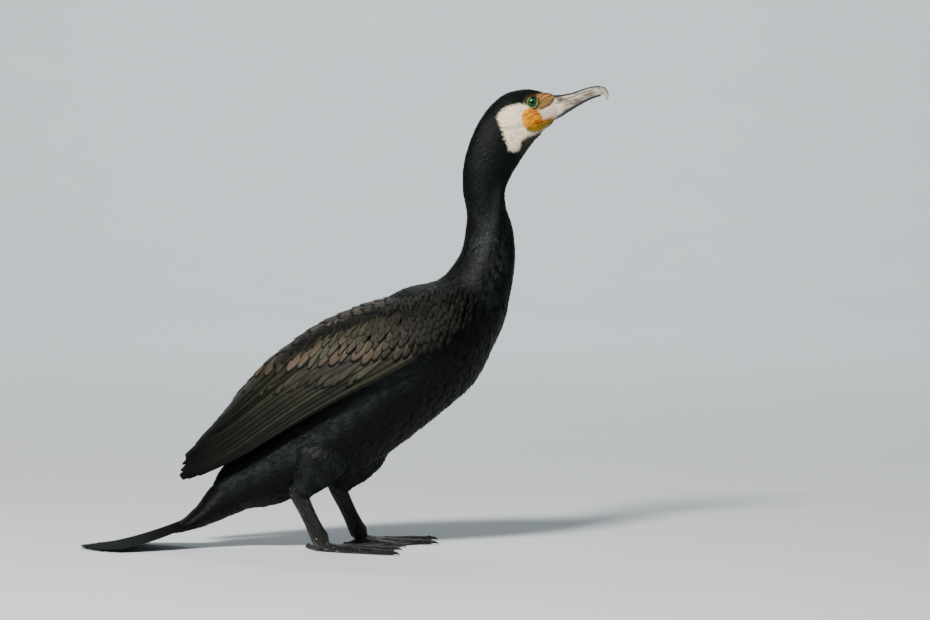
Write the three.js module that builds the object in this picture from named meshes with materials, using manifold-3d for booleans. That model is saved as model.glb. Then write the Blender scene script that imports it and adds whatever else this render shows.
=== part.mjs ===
// A great cormorant standing at rest, as a still, life-size model of closed solids in millimetres.
// +X is the way the bird faces, +Y is its left and +Z is up. The soles and the tail tips rest on Z = 0.

import * as THREE from "three";
import { mergeVertices } from "three/addons/utils/BufferGeometryUtils.js";
import Module from "manifold-3d";

const wasm = await Module();
wasm.setup();

// Driving dimensions
const GAP = 0.3; // between pieces that touch
const WELD = 1e-4; // corners closer than this are one corner
const SIZE_TENSION = 0.4; // how tightly the sizes follow their stations
const TANGENT_STEP = 0.002; // share of a spine over which its direction is taken
const BILL_AXIS_DEG = 14; // how far the bill points above level
const EYE_RADIUS = 7; // the globe, of which the lids show a round of 10.5 mm
const LEG_SPREAD = 37; // from the midplane to each ankle
const LEG_STRIDE = 40; // how far the left leg stands in front of the right
const TAIL_LENGTH = 168; // longest tail feather, past the tail root
const TAIL_FAN_DEG = 21; // from the midline to the outermost tail feather

const SIDES = { right: -1, left: 1 };

// Facets round each kind of round form, and rings along it
const FACETS = {
  body: [22, 50],
  bill: [12, 16],
  hook: [8, 7],
  groove: [6, 8],
  eye: [12, 8],
  lid: [4, 14],
  thigh: [14, 10],
  shank: [10, 9],
  toe: [6, 10],
  claw: [5, 5],
  tailBase: [12, 8],
  web: 6,
};

// The body from the tail root to the forehead: centre of each section, half its depth and half its width
const BODY = [
  { x: -139, z: 49, deep: 0, wide: 0 }, // tail root
  { x: -130, z: 57, deep: 17, wide: 18 },
  { x: -112, z: 69, deep: 29, wide: 29 }, // rump
  { x: -83, z: 84, deep: 39, wide: 39 }, // vent
  { x: -44, z: 111, deep: 52, wide: 49 }, // loins
  { x: 6, z: 151, deep: 65, wide: 57 },
  { x: 56, z: 195, deep: 70, wide: 61 }, // middle of the back
  { x: 105, z: 233, deep: 66, wide: 60 }, // shoulders
  { x: 139, z: 266, deep: 47, wide: 49 }, // breast
  { x: 155, z: 296, deep: 36, wide: 35 }, // neck base
  { x: 163, z: 323, deep: 30.5, wide: 27 },
  { x: 164, z: 349, deep: 27, wide: 22 }, // lower neck
  { x: 161, z: 373, deep: 22.5, wide: 18.5 }, // middle of the neck
  { x: 158.5, z: 395, deep: 24, wide: 18 },
  { x: 162, z: 417, deep: 27.5, wide: 18.5 }, // upper neck
  { x: 172, z: 441, deep: 30.5, wide: 19 }, // nape
  { x: 183, z: 459.5, deep: 31.5, wide: 19.5 },
  { x: 196, z: 473.5, deep: 29.5, wide: 19.5 }, // hind crown
  { x: 210, z: 481, deep: 24.5, wide: 17.5 }, // eyes
  { x: 226, z: 485, deep: 17.5, wide: 13 }, // lores
  { x: 238, z: 487.5, deep: 11.5, wide: 9 }, // forehead
  { x: 246, z: 489, deep: 0, wide: 0 },
];

// The closed bill, from inside the face to the nail
const BILL = [
  { x: 224, z: 483, deep: 0, wide: 0 },
  { x: 229, z: 484, deep: 13, wide: 8.2 },
  { x: 238, z: 486.6, deep: 13, wide: 8.8 },
  { x: 248, z: 490, deep: 10.4, wide: 7.4 },
  { x: 259, z: 494.4, deep: 8.2, wide: 5.9 },
  { x: 270, z: 499.2, deep: 7.2, wide: 5.1 },
  { x: 279, z: 502.2, deep: 6.5, wide: 4.9 },
  { x: 286, z: 503.2, deep: 5.7, wide: 4.2 },
  { x: 289.5, z: 503.2, deep: 4.2, wide: 3 },
  { x: 292, z: 503, deep: 0, wide: 0 },
];
const HOOK = [
  { x: 280, z: 504.5, deep: 0, wide: 0 },
  { x: 284, z: 505, deep: 3.6, wide: 3.6 },
  { x: 289, z: 503.6, deep: 4, wide: 3.4 },
  { x: 292.4, z: 499.5, deep: 2.7, wide: 2.3 },
  { x: 293, z: 496, deep: 1.6, wide: 1.4 },
  { x: 292.4, z: 492.6, deep: 0, wide: 0 },
];
const MOUTH = { x: 238, z: 488.6, riseDeg: 13 }; // where the mandibles part at the bill's base
const GAPE = { x: 199, z: 472.5, riseDeg: 22, corner: 60 }; // corner of the mouth, and how its line rises
const LOWER_TIP = { x: 286, z: 500 }; // where the lower mandible ends under the hook
// Where the body is divided: x, z and how far each cut's normal rises from level, in degrees
const CUTS = {
  neckBase: [155, 296, 68],
  neckMiddle: [161, 373, 95],
  neckTop: [175, 447, 62],
  billRoot: [233, 490, BILL_AXIS_DEG],
};
const EYE = { x: 211, y: 11.2, z: 490.5 };
const LID = { ring: 5.7, thick: 1.1, out: 4.7, turnDeg: 13 }; // the raised rim of the lids
// The groove along each side of the upper mandible, which holds the closed nostril at its hind end
const NASAL_GROOVE = [
  { x: 239, z: 493.5, deep: 0, wide: 0 },
  { x: 242, z: 494.3, deep: 1.1, wide: 1.5 },
  { x: 255, z: 497, deep: 0.8, wide: 1 },
  { x: 270, z: 501.2, deep: 0.7, wide: 0.9 },
  { x: 280, z: 504, deep: 0, wide: 0 },
];
const GROOVE_OUT = { root: 7.2, tip: 4.1 }; // how far the groove lies from the midplane

// The folded wings lie on an envelope round the back: the same kind of stations, from the tips to the wrists
const WING_ENVELOPE = [
  { x: -181, z: 83, deep: 12, wide: 20 },
  { x: -164, z: 91, deep: 17, wide: 27 },
  { x: -140, z: 103, deep: 25, wide: 37 },
  { x: -112, z: 117.5, deep: 35, wide: 47 },
  { x: -78, z: 137, deep: 51, wide: 56 },
  { x: -41, z: 157, deep: 64, wide: 64 },
  { x: 8, z: 180, deep: 74, wide: 69 },
  { x: 54, z: 199, deep: 75, wide: 71 },
  { x: 100, z: 222, deep: 67, wide: 70 },
  { x: 136, z: 247, deep: 57, wide: 62 },
  { x: 160, z: 270, deep: 43, wide: 50 },
];

const WING_LOW = { tips: -7, wrist: -2 }; // height of the wing's lower edge
const WING_TOP_DEG = 82; // how far round the back each wing reaches behind the mantle
const HIND_EDGE_DEG = 74; // the same for the tips of the flight feathers
const HEIGHT_LIMITS = [-0.7, 0.995]; // shares of the envelope's depth that a height may have
const SEARCH_STEP = 0.005;
// The arm and its flesh under the feathers, between two shares of the wing's length
const CORE = {
  start: 0.16,
  end: 0.95,
  lowSpare: 4,
  topSpareDeg: 4,
  topGrowDeg: 40,
  roundOver: 0.14,
  roundLeast: 0.03,
  thickTips: 2,
  thickWrist: 15,
  columns: 10,
  rows: 4,
};

// The mantle's two edges are this far from level, and it tapers to its end between two shares of the back
const MANTLE_EDGE_DEG = 64;
const MANTLE_END = 0.36;
const MANTLE_FULL = 0.62;
const MANTLE_START = 0.98;
const MANTLE = { rows: 4, half: 10, length: 56, sink: 1.2, proud: 1.8, thick: 1.4, columns: 3 };
const MANTLE_LAP = 1.7; // spacing of its feathers, in half widths
const MANTLE_TIPS = { last: 0.34, first: 0.86 }; // where the tips of its rows lie along the back
const MANTLE_LIFT = { top: 0.4, bottom: -22 };
const MANTLE_CUT = { top: 12, bottom: -30 };
const MANTLE_ROOM = { top: 14, bottom: -32, spareDeg: 0.35 };
const MANTLE_POINT = { back: 0.04, over: 0.15, least: 0.03 }; // how its hind end runs to a point
const MANTLE_GRID = [8, 4];

const FLIGHT = {
  count: 8,
  low: -3,
  high: 55,
  half: 5.3,
  roll: 0.9,
  sink: 2,
  proud: 2.1,
  thick: 0.6,
  rise: 0.1,
  gather: 0.95, // how far the feathers draw together towards the tips
  columns: 5,
  under: 0.08, // how far the roots reach in under the greater coverts
  tips: [0.03, 0, 0.015, 0.07],
};

// Tiers of coverts, from the greater coverts up: where their tips end at the hind edge and at the wrist
const COVERT = { roll: 0.35, sink: 1.4, proud: 2.2, thick: 1.2, columns: 3 };
const COVERT_SPREAD = 0.9; // below 1 the feathers crowd towards the lower edge
const COVERT_TIERS = [
  { from: 0.36, to: 0.76, count: 6, half: 5.4, length: 42, proud: 3.9, thick: 0.9 },
  { from: 0.42, to: 0.84, count: 6, half: 5.8, length: 36 },
  { from: 0.5, to: 0.87, count: 5, half: 5.8, length: 34, stagger: 0.5 },
  { from: 0.6, to: 0.9, count: 4, half: 5.8, length: 32 },
];

// A vane's outline: a little narrower at the root than at its shoulder, then round to the tip
const VANE = { rootWidth: 0.8, shoulder: 0.6, tipRound: 1.06, tipReach: 0.412, camber: 0.4, rise: 0.62 };

const TAIL_ROOT = { x: -118, z: 50, spread: 1 };
const TAIL_FALL = 1.7; // how the tail sags from its root to the floor
const TAIL_PAIRS = 6;
const TAIL_ROUNDING = 0.2; // how much shorter the outermost feather is
const TAIL_STEP = 1.1; // each feather lies this much above the next one out
const TAIL_ROLL = 0.35;
const TAIL_MIDDLE_DEG = 1.5; // turn of the middle pair from the midline
const TAIL_ROUNDING_POWER = 1.6;
const TAIL_CLOSE = 0.55; // how much the steps between feathers close up at the tips
const TAIL_VANE_ROOT = 0.04;
const TAIL_VANE = { half: 8.5, columns: 5, sink: -0.4, proud: 0.7, thick: 0.8 };
const TAIL_BASE = [
  { x: -96, z: 74, deep: 0, wide: 0 },
  { x: -110, z: 66, deep: 22, wide: 20 },
  { x: -132, z: 51, deep: 19, wide: 22 },
  { x: -152, z: 36, deep: 12, wide: 23 }, // tail coverts
  { x: -174, z: 24, deep: 6, wide: 22 },
  { x: -196, z: 15, deep: 0, wide: 0 },
];

const LEG = {
  thigh: [
    { x: -8, y: 22, z: 140, deep: 0, wide: 0 },
    { x: -14, y: 26, z: 126, deep: 29, wide: 17 },
    { x: -22, y: 34, z: 104, deep: 32, wide: 20 },
    { x: -31, y: 37, z: 84, deep: 24, wide: 16 },
    { x: -38, y: 37, z: 70, deep: 14, wide: 11 },
    { x: -42, y: 37, z: 61, deep: 8.5, wide: 7 },
    { x: -44, y: 37, z: 57, deep: 0, wide: 0 },
  ],
  shank: [
    { x: -50, y: 37, z: 76, deep: 0, wide: 0 },
    { x: -47, y: 37, z: 70, deep: 9, wide: 6 }, // heel
    { x: -42, y: 37, z: 58, deep: 9, wide: 5.5 },
    { x: -33, y: 37, z: 39, deep: 7.6, wide: 4.6 },
    { x: -25, y: 37, z: 22, deep: 8.5, wide: 5.6 },
    { x: -19, y: 37, z: 11, deep: 9, wide: 7.5 }, // toe joints
    { x: -16, y: 37, z: 5, deep: 0, wide: 0 },
  ],
};
const SOLE_Z = 12.5; // the foot's node starts below this height
const ANKLE = { x: -19, z: 9 };
const TOES = [
  { name: "hallux", turnDeg: 118, length: 33, base: 4, end: 2.6, claw: 9 },
  { name: "inner", turnDeg: 36, length: 54, base: 4.4, end: 2.9, claw: 10 },
  { name: "middle", turnDeg: 4, length: 76, base: 4.8, end: 3, claw: 12 },
  { name: "outer", turnDeg: -25, length: 84, base: 5, end: 3, claw: 11 },
];
// A toe swells at its pads: share of its length and size there, as a share of the toe's thickness
const TOE_SHAPE = [
  { reach: -0.05, swell: 0 },
  { reach: 0, swell: 1 },
  { reach: 0.12, swell: 0.95 },
  { reach: 0.3, swell: 0.85 },
  { reach: 0.42, swell: 1.05 },
  { reach: 0.55, swell: 0.82 },
  { reach: 0.7, swell: 1 },
  { reach: 0.84, swell: 0.8 },
  { reach: 0.97, swell: 0.85 },
  { reach: 1, swell: 0 },
];
const TOE = { middle: 0.75, width: 1.1, archHigh: 6, archReach: 0.2 };
const CLAW_WIDTH = 0.8;
const CLAW_SHAPE = [
  { reach: 0, z: 2.5, r: 0 },
  { reach: 0.1, z: 2.5, r: 2 },
  { reach: 0.45, z: 3, r: 1.7 },
  { reach: 0.8, z: 2, r: 1 },
  { reach: 1, z: 0.6, r: 0 },
];
const WEB_THICK = 1.4;
const WEB_REACH = 0.93; // share of each toe that the web's edge reaches
const WEB_DIP = 0.2; // how far the web's edge sags between two toes

const radians = THREE.MathUtils.degToRad;

// A geometry as a closed solid, whichever way its faces were wound
function solid(geometry) {
  const bare = new THREE.BufferGeometry();
  bare.setAttribute("position", geometry.getAttribute("position"));
  if (geometry.index) bare.setIndex(geometry.index);
  const merged = mergeVertices(bare, WELD);
  const corners = merged.index.array;
  const kept = [];
  for (let i = 0; i < corners.length; i += 3) {
    const [a, b, c] = corners.slice(i, i + 3);
    if (a !== b && b !== c && c !== a) kept.push(a, b, c);
  }
  const vertProperties = merged.getAttribute("position").array;
  const build = (triVerts) =>
    new wasm.Manifold(new wasm.Mesh({ numProp: 3, vertProperties, triVerts }));
  const made = build(new Uint32Array(kept));
  if (made.volume() > 0) return made;
  for (let i = 0; i < kept.length; i += 3) [kept[i + 1], kept[i + 2]] = [kept[i + 2], kept[i + 1]];
  return build(new Uint32Array(kept));
}

function largest(body) {
  return body.decompose().sort((a, b) => b.volume() - a.volume())[0];
}

function union(pieces) {
  return pieces.reduce((whole, piece) => whole.add(piece));
}

// Interpolates named stations: a smooth spine through their centres, and their sizes beside it.
class Spine {
  constructor(stations, across = new THREE.Vector3(0, 1, 0)) {
    const centres = stations.map((s) => new THREE.Vector3(s.x, s.y ?? 0, s.z));
    const sizes = stations.map((s) => new THREE.Vector3(s.deep, s.wide, 0));
    this.line = new THREE.CatmullRomCurve3(centres, false, "centripetal");
    this.sizes = new THREE.CatmullRomCurve3(sizes, false, "catmullrom", SIZE_TENSION);
    this.across = across;
  }

  // The point at t from 0 to 1 along the spine, at an angle from the side to the back, lifted off the skin
  at(t, angle, lift = 0) {
    const centre = this.line.getPoint(t);
    const ahead = this.line.getPoint(Math.min(1, t + TANGENT_STEP));
    const along = ahead.sub(this.line.getPoint(Math.max(0, t - TANGENT_STEP))).normalize();
    const back = new THREE.Vector3().crossVectors(along, this.across).normalize();
    const side = new THREE.Vector3().crossVectors(back, along);
    const size = this.sizes.getPoint(t);
    const deep = Math.max(0, size.x) + lift;
    const wide = Math.max(0, size.y) + lift;
    return centre
      .addScaledVector(back, deep * Math.sin(angle))
      .addScaledVector(side, wide * Math.cos(angle));
  }
}

// A closed round body along a spine that starts and ends in a point, drawn over a sphere's grid
function bodyAlong(stations, [around, rings], lift = 0, across = undefined) {
  const spine = new Spine(stations, across);
  const ball = new THREE.SphereGeometry(1, around, rings);
  const place = ball.getAttribute("position");
  const uv = ball.getAttribute("uv");
  for (let i = 0; i < place.count; i++) {
    const ring = Math.round((1 - uv.getY(i)) * rings);
    const column = Math.round(uv.getX(i) * around) % around;
    const pole = ring === 0 || ring === rings;
    const p = spine.at(ring / rings, (column / around) * 2 * Math.PI, pole ? 0 : lift);
    if (pole) p.copy(spine.line.getPoint(ring / rings));
    place.setXYZ(i, p.x, p.y, p.z);
  }
  return solid(ball);
}

// A half space's plane through a point, facing the way that rises at an angle from +X
function planeAt(x, z, riseDeg) {
  const normal = [Math.cos(radians(riseDeg)), 0, Math.sin(radians(riseDeg))];
  return { normal, offset: normal[0] * x + normal[2] * z };
}

function before({ normal, offset }, body) {
  return body.trimByPlane(normal.map((n) => -n), -offset + GAP / 2);
}

function beyond({ normal, offset }, body) {
  return body.trimByPlane(normal, offset + GAP / 2);
}

// A sheet with a front and a back face, cut into triangles alike on both, closed round its edge
function sheet(columns, rows, frontAt, backAt) {
  const points = [];
  for (const face of [frontAt, backAt])
    for (let i = 0; i <= columns; i++)
      for (let j = 0; j <= rows; j++) points.push(...face(i / columns, j / rows).toArray());
  const layer = (columns + 1) * (rows + 1);
  const at = (i, j, back) => i * (rows + 1) + j + (back ? layer : 0);
  const faces = [];
  for (let i = 0; i < columns; i++)
    for (let j = 0; j < rows; j++) {
      faces.push(at(i, j), at(i + 1, j), at(i + 1, j + 1), at(i, j), at(i + 1, j + 1), at(i, j + 1));
      faces.push(at(i, j, 1), at(i + 1, j + 1, 1), at(i + 1, j, 1));
      faces.push(at(i, j, 1), at(i, j + 1, 1), at(i + 1, j + 1, 1));
    }
  const wall = (a, b) => faces.push(b, b + layer, a + layer, b, a + layer, a);
  for (let i = 0; i < columns; i++) {
    wall(at(i + 1, 0), at(i, 0));
    wall(at(i, rows), at(i + 1, rows));
  }
  for (let j = 0; j < rows; j++) {
    wall(at(0, j), at(0, j + 1));
    wall(at(columns, j + 1), at(columns, j));
  }
  const made = new THREE.BufferGeometry();
  made.setAttribute("position", new THREE.Float32BufferAttribute(points, 3));
  made.setIndex(faces);
  return solid(made);
}

// Body, neck and head
const wholeBody = bodyAlong(BODY, FACETS.body);
const bodyRoom = bodyAlong(BODY, FACETS.body, GAP);
const neckBase = planeAt(...CUTS.neckBase);
const neckMiddle = planeAt(...CUTS.neckMiddle);
const neckTop = planeAt(...CUTS.neckTop);
const billRoot = planeAt(...CUTS.billRoot);

function eyeBall(side, grow = 0) {
  const ball = new THREE.SphereGeometry(EYE_RADIUS + grow, ...FACETS.eye);
  return solid(ball.translate(EYE.x, side * EYE.y, EYE.z));
}

// The ring of bare lid that stands round each eye
function eyeLid(side) {
  const ring = new THREE.TorusGeometry(LID.ring, LID.thick, ...FACETS.lid);
  ring.rotateX(radians(90)).rotateZ(radians(side * -LID.turnDeg));
  return solid(ring.translate(EYE.x, side * (EYE.y + LID.out), EYE.z));
}

// The corner of space below the mouth and in front of the gape, which holds the throat pouch
function gularCorner(grow) {
  const size = GAPE.corner;
  const corner = new THREE.BoxGeometry(size, size * 2, size);
  corner.translate(size / 2 - grow, 0, -size / 2 + grow);
  corner.rotateY(radians(-GAPE.riseDeg));
  return solid(corner.translate(GAPE.x, 0, GAPE.z));
}

function headParts() {
  const head = before(billRoot, beyond(neckTop, wholeBody));
  const skull = union([head, eyeLid(-1), eyeLid(1)])
    .subtract(eyeBall(-1, GAP))
    .subtract(eyeBall(1, GAP))
    .subtract(gularCorner(GAP / 2));
  const pouch = head.intersect(gularCorner(-GAP / 2));
  return { head: largest(skull), gular_pouch: largest(pouch) };
}

function nasalGroove(side) {
  const last = NASAL_GROOVE.length - 1;
  const out = (i) => THREE.MathUtils.lerp(GROOVE_OUT.root, GROOVE_OUT.tip, i / last);
  return bodyAlong(NASAL_GROOVE.map((s, i) => ({ ...s, y: side * out(i) })), FACETS.groove);
}

function billParts() {
  const bill = beyond(billRoot, bodyAlong(BILL, FACETS.bill));
  const mouth = planeAt(MOUTH.x, MOUTH.z, MOUTH.riseDeg + 90);
  const hook = bodyAlong(HOOK, FACETS.hook);
  const upper = union([beyond(mouth, bill), hook]).subtract(nasalGroove(-1)).subtract(nasalGroove(1));
  const lowerEnd = planeAt(LOWER_TIP.x, LOWER_TIP.z, BILL_AXIS_DEG);
  const lower = before(lowerEnd, before(mouth, bill));
  return { bill_upper: largest(upper), bill_lower: largest(lower) };
}

// Legs
function legStations(stations, side) {
  const forward = side > 0 ? LEG_STRIDE : 0;
  return stations.map((s) => ({ ...s, x: s.x + forward, y: side * (s.y ?? 0) }));
}

function legSpine(key, side, lift = 0) {
  return bodyAlong(legStations(LEG[key], side), FACETS[key], lift);
}

function anklePlace(side) {
  return new THREE.Vector3(ANKLE.x + (side > 0 ? LEG_STRIDE : 0), side * LEG_SPREAD, 0);
}

// The heading of a toe: inner toes turn towards the midplane
function toeHeading(toe, side) {
  const turn = radians(toe.turnDeg) * -side;
  return new THREE.Vector3(Math.cos(turn), Math.sin(turn), 0);
}

function toeBody(toe, side) {
  const heading = toeHeading(toe, side);
  const start = anklePlace(side);
  const left = new THREE.Vector3(-heading.y, heading.x, 0);
  const stations = TOE_SHAPE.map(({ reach, swell }) => {
    const r = THREE.MathUtils.lerp(toe.base, toe.end, Math.max(0, reach));
    const p = start.clone().addScaledVector(heading, reach * toe.length);
    const rise = TOE.archHigh * Math.max(0, 1 - reach / TOE.archReach) ** 2;
    return { x: p.x, y: p.y, z: r * TOE.middle + rise, deep: r * swell, wide: r * swell * TOE.width };
  });
  return bodyAlong(stations, FACETS.toe, 0, left);
}

function clawBody(toe, side) {
  const heading = toeHeading(toe, side);
  const start = anklePlace(side);
  const left = new THREE.Vector3(-heading.y, heading.x, 0);
  const stations = CLAW_SHAPE.map(({ reach, z, r }) => {
    const p = start.clone().addScaledVector(heading, toe.length + GAP + reach * toe.claw);
    return { x: p.x, y: p.y, z, deep: r, wide: r * CLAW_WIDTH };
  });
  return largest(bodyAlong(stations, FACETS.claw, 0, left).trimByPlane([0, 0, 1], 0));
}

// The web between two neighbouring toes, flat on the ground, its edge sagging between the claws
function webBetween(first, second, side) {
  const start = anklePlace(side);
  const tip = (toe) =>
    start.clone().addScaledVector(toeHeading(toe, side), toe.length * WEB_REACH);
  const a = tip(first);
  const b = tip(second);
  const middle = a.clone().add(b).multiplyScalar(0.5).lerp(start, WEB_DIP);
  const outline = new THREE.Shape();
  outline.moveTo(start.x, start.y);
  outline.lineTo(a.x, a.y);
  outline.quadraticCurveTo(middle.x, middle.y, b.x, b.y);
  const flat = new THREE.ExtrudeGeometry(outline, {
    depth: WEB_THICK,
    bevelEnabled: false,
    curveSegments: FACETS.web,
  });
  return solid(flat);
}

function legParts(sideName) {
  const side = SIDES[sideName];
  const thigh = legSpine("thigh", side);
  const shank = legSpine("shank", side);
  const shankRoom = legSpine("shank", side, GAP);
  const ankle = planeAt(0, SOLE_Z, 90);
  const toes = TOES.map((toe) => toeBody(toe, side));
  const webs = TOES.slice(1).map((toe, i) => webBetween(TOES[i], toe, side));
  const claws = TOES.map((toe) => clawBody(toe, side));
  const foot = union([before(ankle, shank), ...toes, ...webs].map((p) => p.trimByPlane([0, 0, 1], 0)));
  const parts = {
    [`thigh_${sideName}`]: largest(thigh.subtract(bodyRoom).subtract(shankRoom)),
    [`shank_${sideName}`]: largest(beyond(ankle, shank).subtract(bodyRoom)),
    [`foot_${sideName}`]: largest(before(ankle, foot)),
  };
  TOES.forEach((toe, i) => (parts[`claw_${toe.name}_${sideName}`] = claws[i]));
  return parts;
}

// A feather's vane on a bent surface: place gives the point at a share of the surface's length, a height up
// it and a lift off it. The root is sunk in, the tip stands proud and a roll lets each vane lap the next.
function vane(place, shape) {
  const { root, tip, height, half, columns, sink, proud, thick } = shape;
  const { roll = 0, rows = 1, rise = VANE.rise } = shape;
  const widthAt = (u) =>
    u < VANE.shoulder
      ? THREE.MathUtils.lerp(VANE.rootWidth, 1, u / VANE.shoulder)
      : Math.sqrt(VANE.tipRound - ((u - VANE.shoulder) / VANE.tipReach) ** 2);
  const face = (below) => (u, v) => {
    const out = 2 * v - 1;
    const lift = THREE.MathUtils.lerp(-sink, proud, Math.min(1, u / rise)) - roll * out;
    const camber = rows > 1 ? VANE.camber * (1 - out ** 2) : 0;
    const across = out * half * widthAt(u);
    return place(THREE.MathUtils.lerp(root, tip, u), height(u) + across, lift + camber - below);
  };
  return sheet(columns, rows, face(0), face(thick));
}

// Wings
const envelope = new Spine(WING_ENVELOPE);
const WING_LENGTH = envelope.line.getLength();

// How high up the side the wing reaches: beside the mantle, and near the midline behind it
function wingTopDeg(t) {
  const share = THREE.MathUtils.smoothstep(t, MANTLE_END, MANTLE_FULL);
  return THREE.MathUtils.lerp(WING_TOP_DEG, MANTLE_EDGE_DEG, share);
}

function depthAt(t) {
  return envelope.sizes.getPoint(Math.min(1, t)).x;
}

// A point of the wing at t along it, at a height in millimetres above the middle of the side
function wingPoint(side, t, height, lift) {
  const angle = Math.asin(THREE.MathUtils.clamp(height / depthAt(t), ...HEIGHT_LIMITS));
  const p = envelope.at(Math.min(1, t), angle, lift);
  p.y *= side;
  return p;
}

// The least t at which the wing is still as high as this: where a feather's tip meets the hind edge
function hindEdge(height) {
  let t = 0;
  while (depthAt(t) * Math.sin(radians(HIND_EDGE_DEG)) < height) t += SEARCH_STEP;
  return t;
}

function lowEdge(t) {
  return THREE.MathUtils.lerp(WING_LOW.tips, WING_LOW.wrist, t);
}

function wingCore(side) {
  const spot = (u, v) => {
    const t = THREE.MathUtils.lerp(CORE.start, CORE.end, u);
    const round = Math.sqrt(THREE.MathUtils.clamp((1 - u) / CORE.roundOver, CORE.roundLeast, 1));
    const topDeg = Math.min(wingTopDeg(t), HIND_EDGE_DEG - CORE.topSpareDeg + CORE.topGrowDeg * u);
    const top = depthAt(t) * Math.sin(radians(topDeg));
    return [t, THREE.MathUtils.lerp(lowEdge(t) + CORE.lowSpare, top, 0.5 + (v - 0.5) * round)];
  };
  const thick = (u) => THREE.MathUtils.lerp(CORE.thickTips, CORE.thickWrist, u);
  const outer = (u, v) => wingPoint(side, ...spot(u, v), 0);
  const inner = (u, v) => wingPoint(side, ...spot(u, v), -thick(u));
  return sheet(CORE.columns, CORE.rows, outer, inner);
}

// The line across the wing that a tier's tips end on runs from its hind edge down to the wrist
function tierEnd(tier, share) {
  return THREE.MathUtils.lerp(tier.from, tier.to, share);
}

function tierVanes(side, tier) {
  const vanes = [];
  const place = (t, height, lift) => wingPoint(side, t, height, lift);
  for (let k = 0; k < tier.count; k++) {
    const share = (k + (tier.stagger ?? 0)) / tier.count;
    const tip = tierEnd(tier, share);
    const top = depthAt(tip) * Math.sin(radians(wingTopDeg(tip))) - tier.half * 0.5;
    const height = THREE.MathUtils.lerp(top, lowEdge(tip) + tier.half + 1, share ** COVERT_SPREAD);
    const root = tip + tier.length / WING_LENGTH;
    vanes.push(vane(place, { ...COVERT, ...tier, root, tip, height: () => height }));
  }
  return vanes;
}

// Long flight feathers: the primaries lowest and out to the tips, the secondaries and tertials above them
function flightVanes(side) {
  const vanes = [];
  const place = (t, height, lift) => wingPoint(side, t, height, lift);
  for (let k = 0; k < FLIGHT.count; k++) {
    const share = k / (FLIGHT.count - 1);
    const height = THREE.MathUtils.lerp(FLIGHT.low, FLIGHT.high, share);
    const root = THREE.MathUtils.lerp(COVERT_TIERS[0].to, COVERT_TIERS[0].from, share) + FLIGHT.under;
    const tip = Math.max(hindEdge(height), FLIGHT.tips[k] ?? 0);
    const gather = (u) => height * THREE.MathUtils.lerp(1, FLIGHT.gather, u ** 2);
    vanes.push(vane(place, { ...FLIGHT, root, tip, height: gather }));
  }
  return vanes;
}

function wingParts(sideName) {
  const side = SIDES[sideName];
  const tiers = COVERT_TIERS.flatMap((tier) => tierVanes(side, tier));
  const wing = union([wingCore(side), ...flightVanes(side), ...tiers])
    .subtract(bodyRoom)
    .subtract(mantleRoom)
    .subtract(legSpine("thigh", side, GAP));
  return { [`wing_${sideName}`]: largest(wing) };
}

// The mantle: the feathers of the back and shoulders, which lie over the upper edges of both wings
function mantlePoint(t, turnDeg, lift) {
  return envelope.at(Math.min(1, t), radians(90 + turnDeg), lift);
}

function mantleEdgeDeg(t) {
  return 90 - wingTopDeg(t);
}

function mantleSheet({ top, bottom, spareDeg = 0 }) {
  const spot = (u, v) => {
    const t = THREE.MathUtils.lerp(MANTLE_END - MANTLE_POINT.back, MANTLE_START, u);
    const narrow = Math.sqrt(Math.min(1, u / MANTLE_POINT.over + MANTLE_POINT.least));
    const edge = mantleEdgeDeg(t) * narrow + spareDeg;
    return [t, THREE.MathUtils.lerp(-edge, edge, v)];
  };
  const outer = (u, v) => mantlePoint(...spot(u, v), top);
  const inner = (u, v) => mantlePoint(...spot(u, v), bottom);
  return sheet(...MANTLE_GRID, outer, inner);
}

function mantleParts() {
  const vanes = [];
  for (let row = 0; row < MANTLE.rows; row++) {
    const tip = THREE.MathUtils.lerp(MANTLE_TIPS.last, MANTLE_TIPS.first, row / (MANTLE.rows - 1));
    const edge = mantleEdgeDeg(tip);
    const girth = 2 * radians(edge) * depthAt(tip);
    const count = Math.max(1, Math.round(girth / (MANTLE.half * MANTLE_LAP)));
    for (let k = 0; k < count; k++) {
      const turn = THREE.MathUtils.lerp(-edge, edge, (k + 0.5) / count);
      const place = (t, across, lift) =>
        mantlePoint(t, turn + THREE.MathUtils.radToDeg(across / depthAt(tip)), lift);
      const root = tip + MANTLE.length / WING_LENGTH;
      vanes.push(vane(place, { ...MANTLE, root, tip, height: () => 0 }));
    }
  }
  const mantle = union([mantleSheet(MANTLE_LIFT), ...vanes]).intersect(mantleSheet(MANTLE_CUT));
  return { mantle: largest(mantle.subtract(bodyRoom)) };
}
const mantleRoom = mantleSheet(MANTLE_ROOM);

// Tail
function tailPoint(reach, turnDeg, lift) {
  const turn = radians(turnDeg);
  const share = Math.max(0, Math.min(1, reach / TAIL_LENGTH));
  const fall = TAIL_ROOT.z * (1 - share) ** TAIL_FALL;
  const x = TAIL_ROOT.x - reach * Math.cos(turn);
  return new THREE.Vector3(x, TAIL_ROOT.spread * Math.sign(turn) + reach * Math.sin(turn), fall + lift);
}

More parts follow.
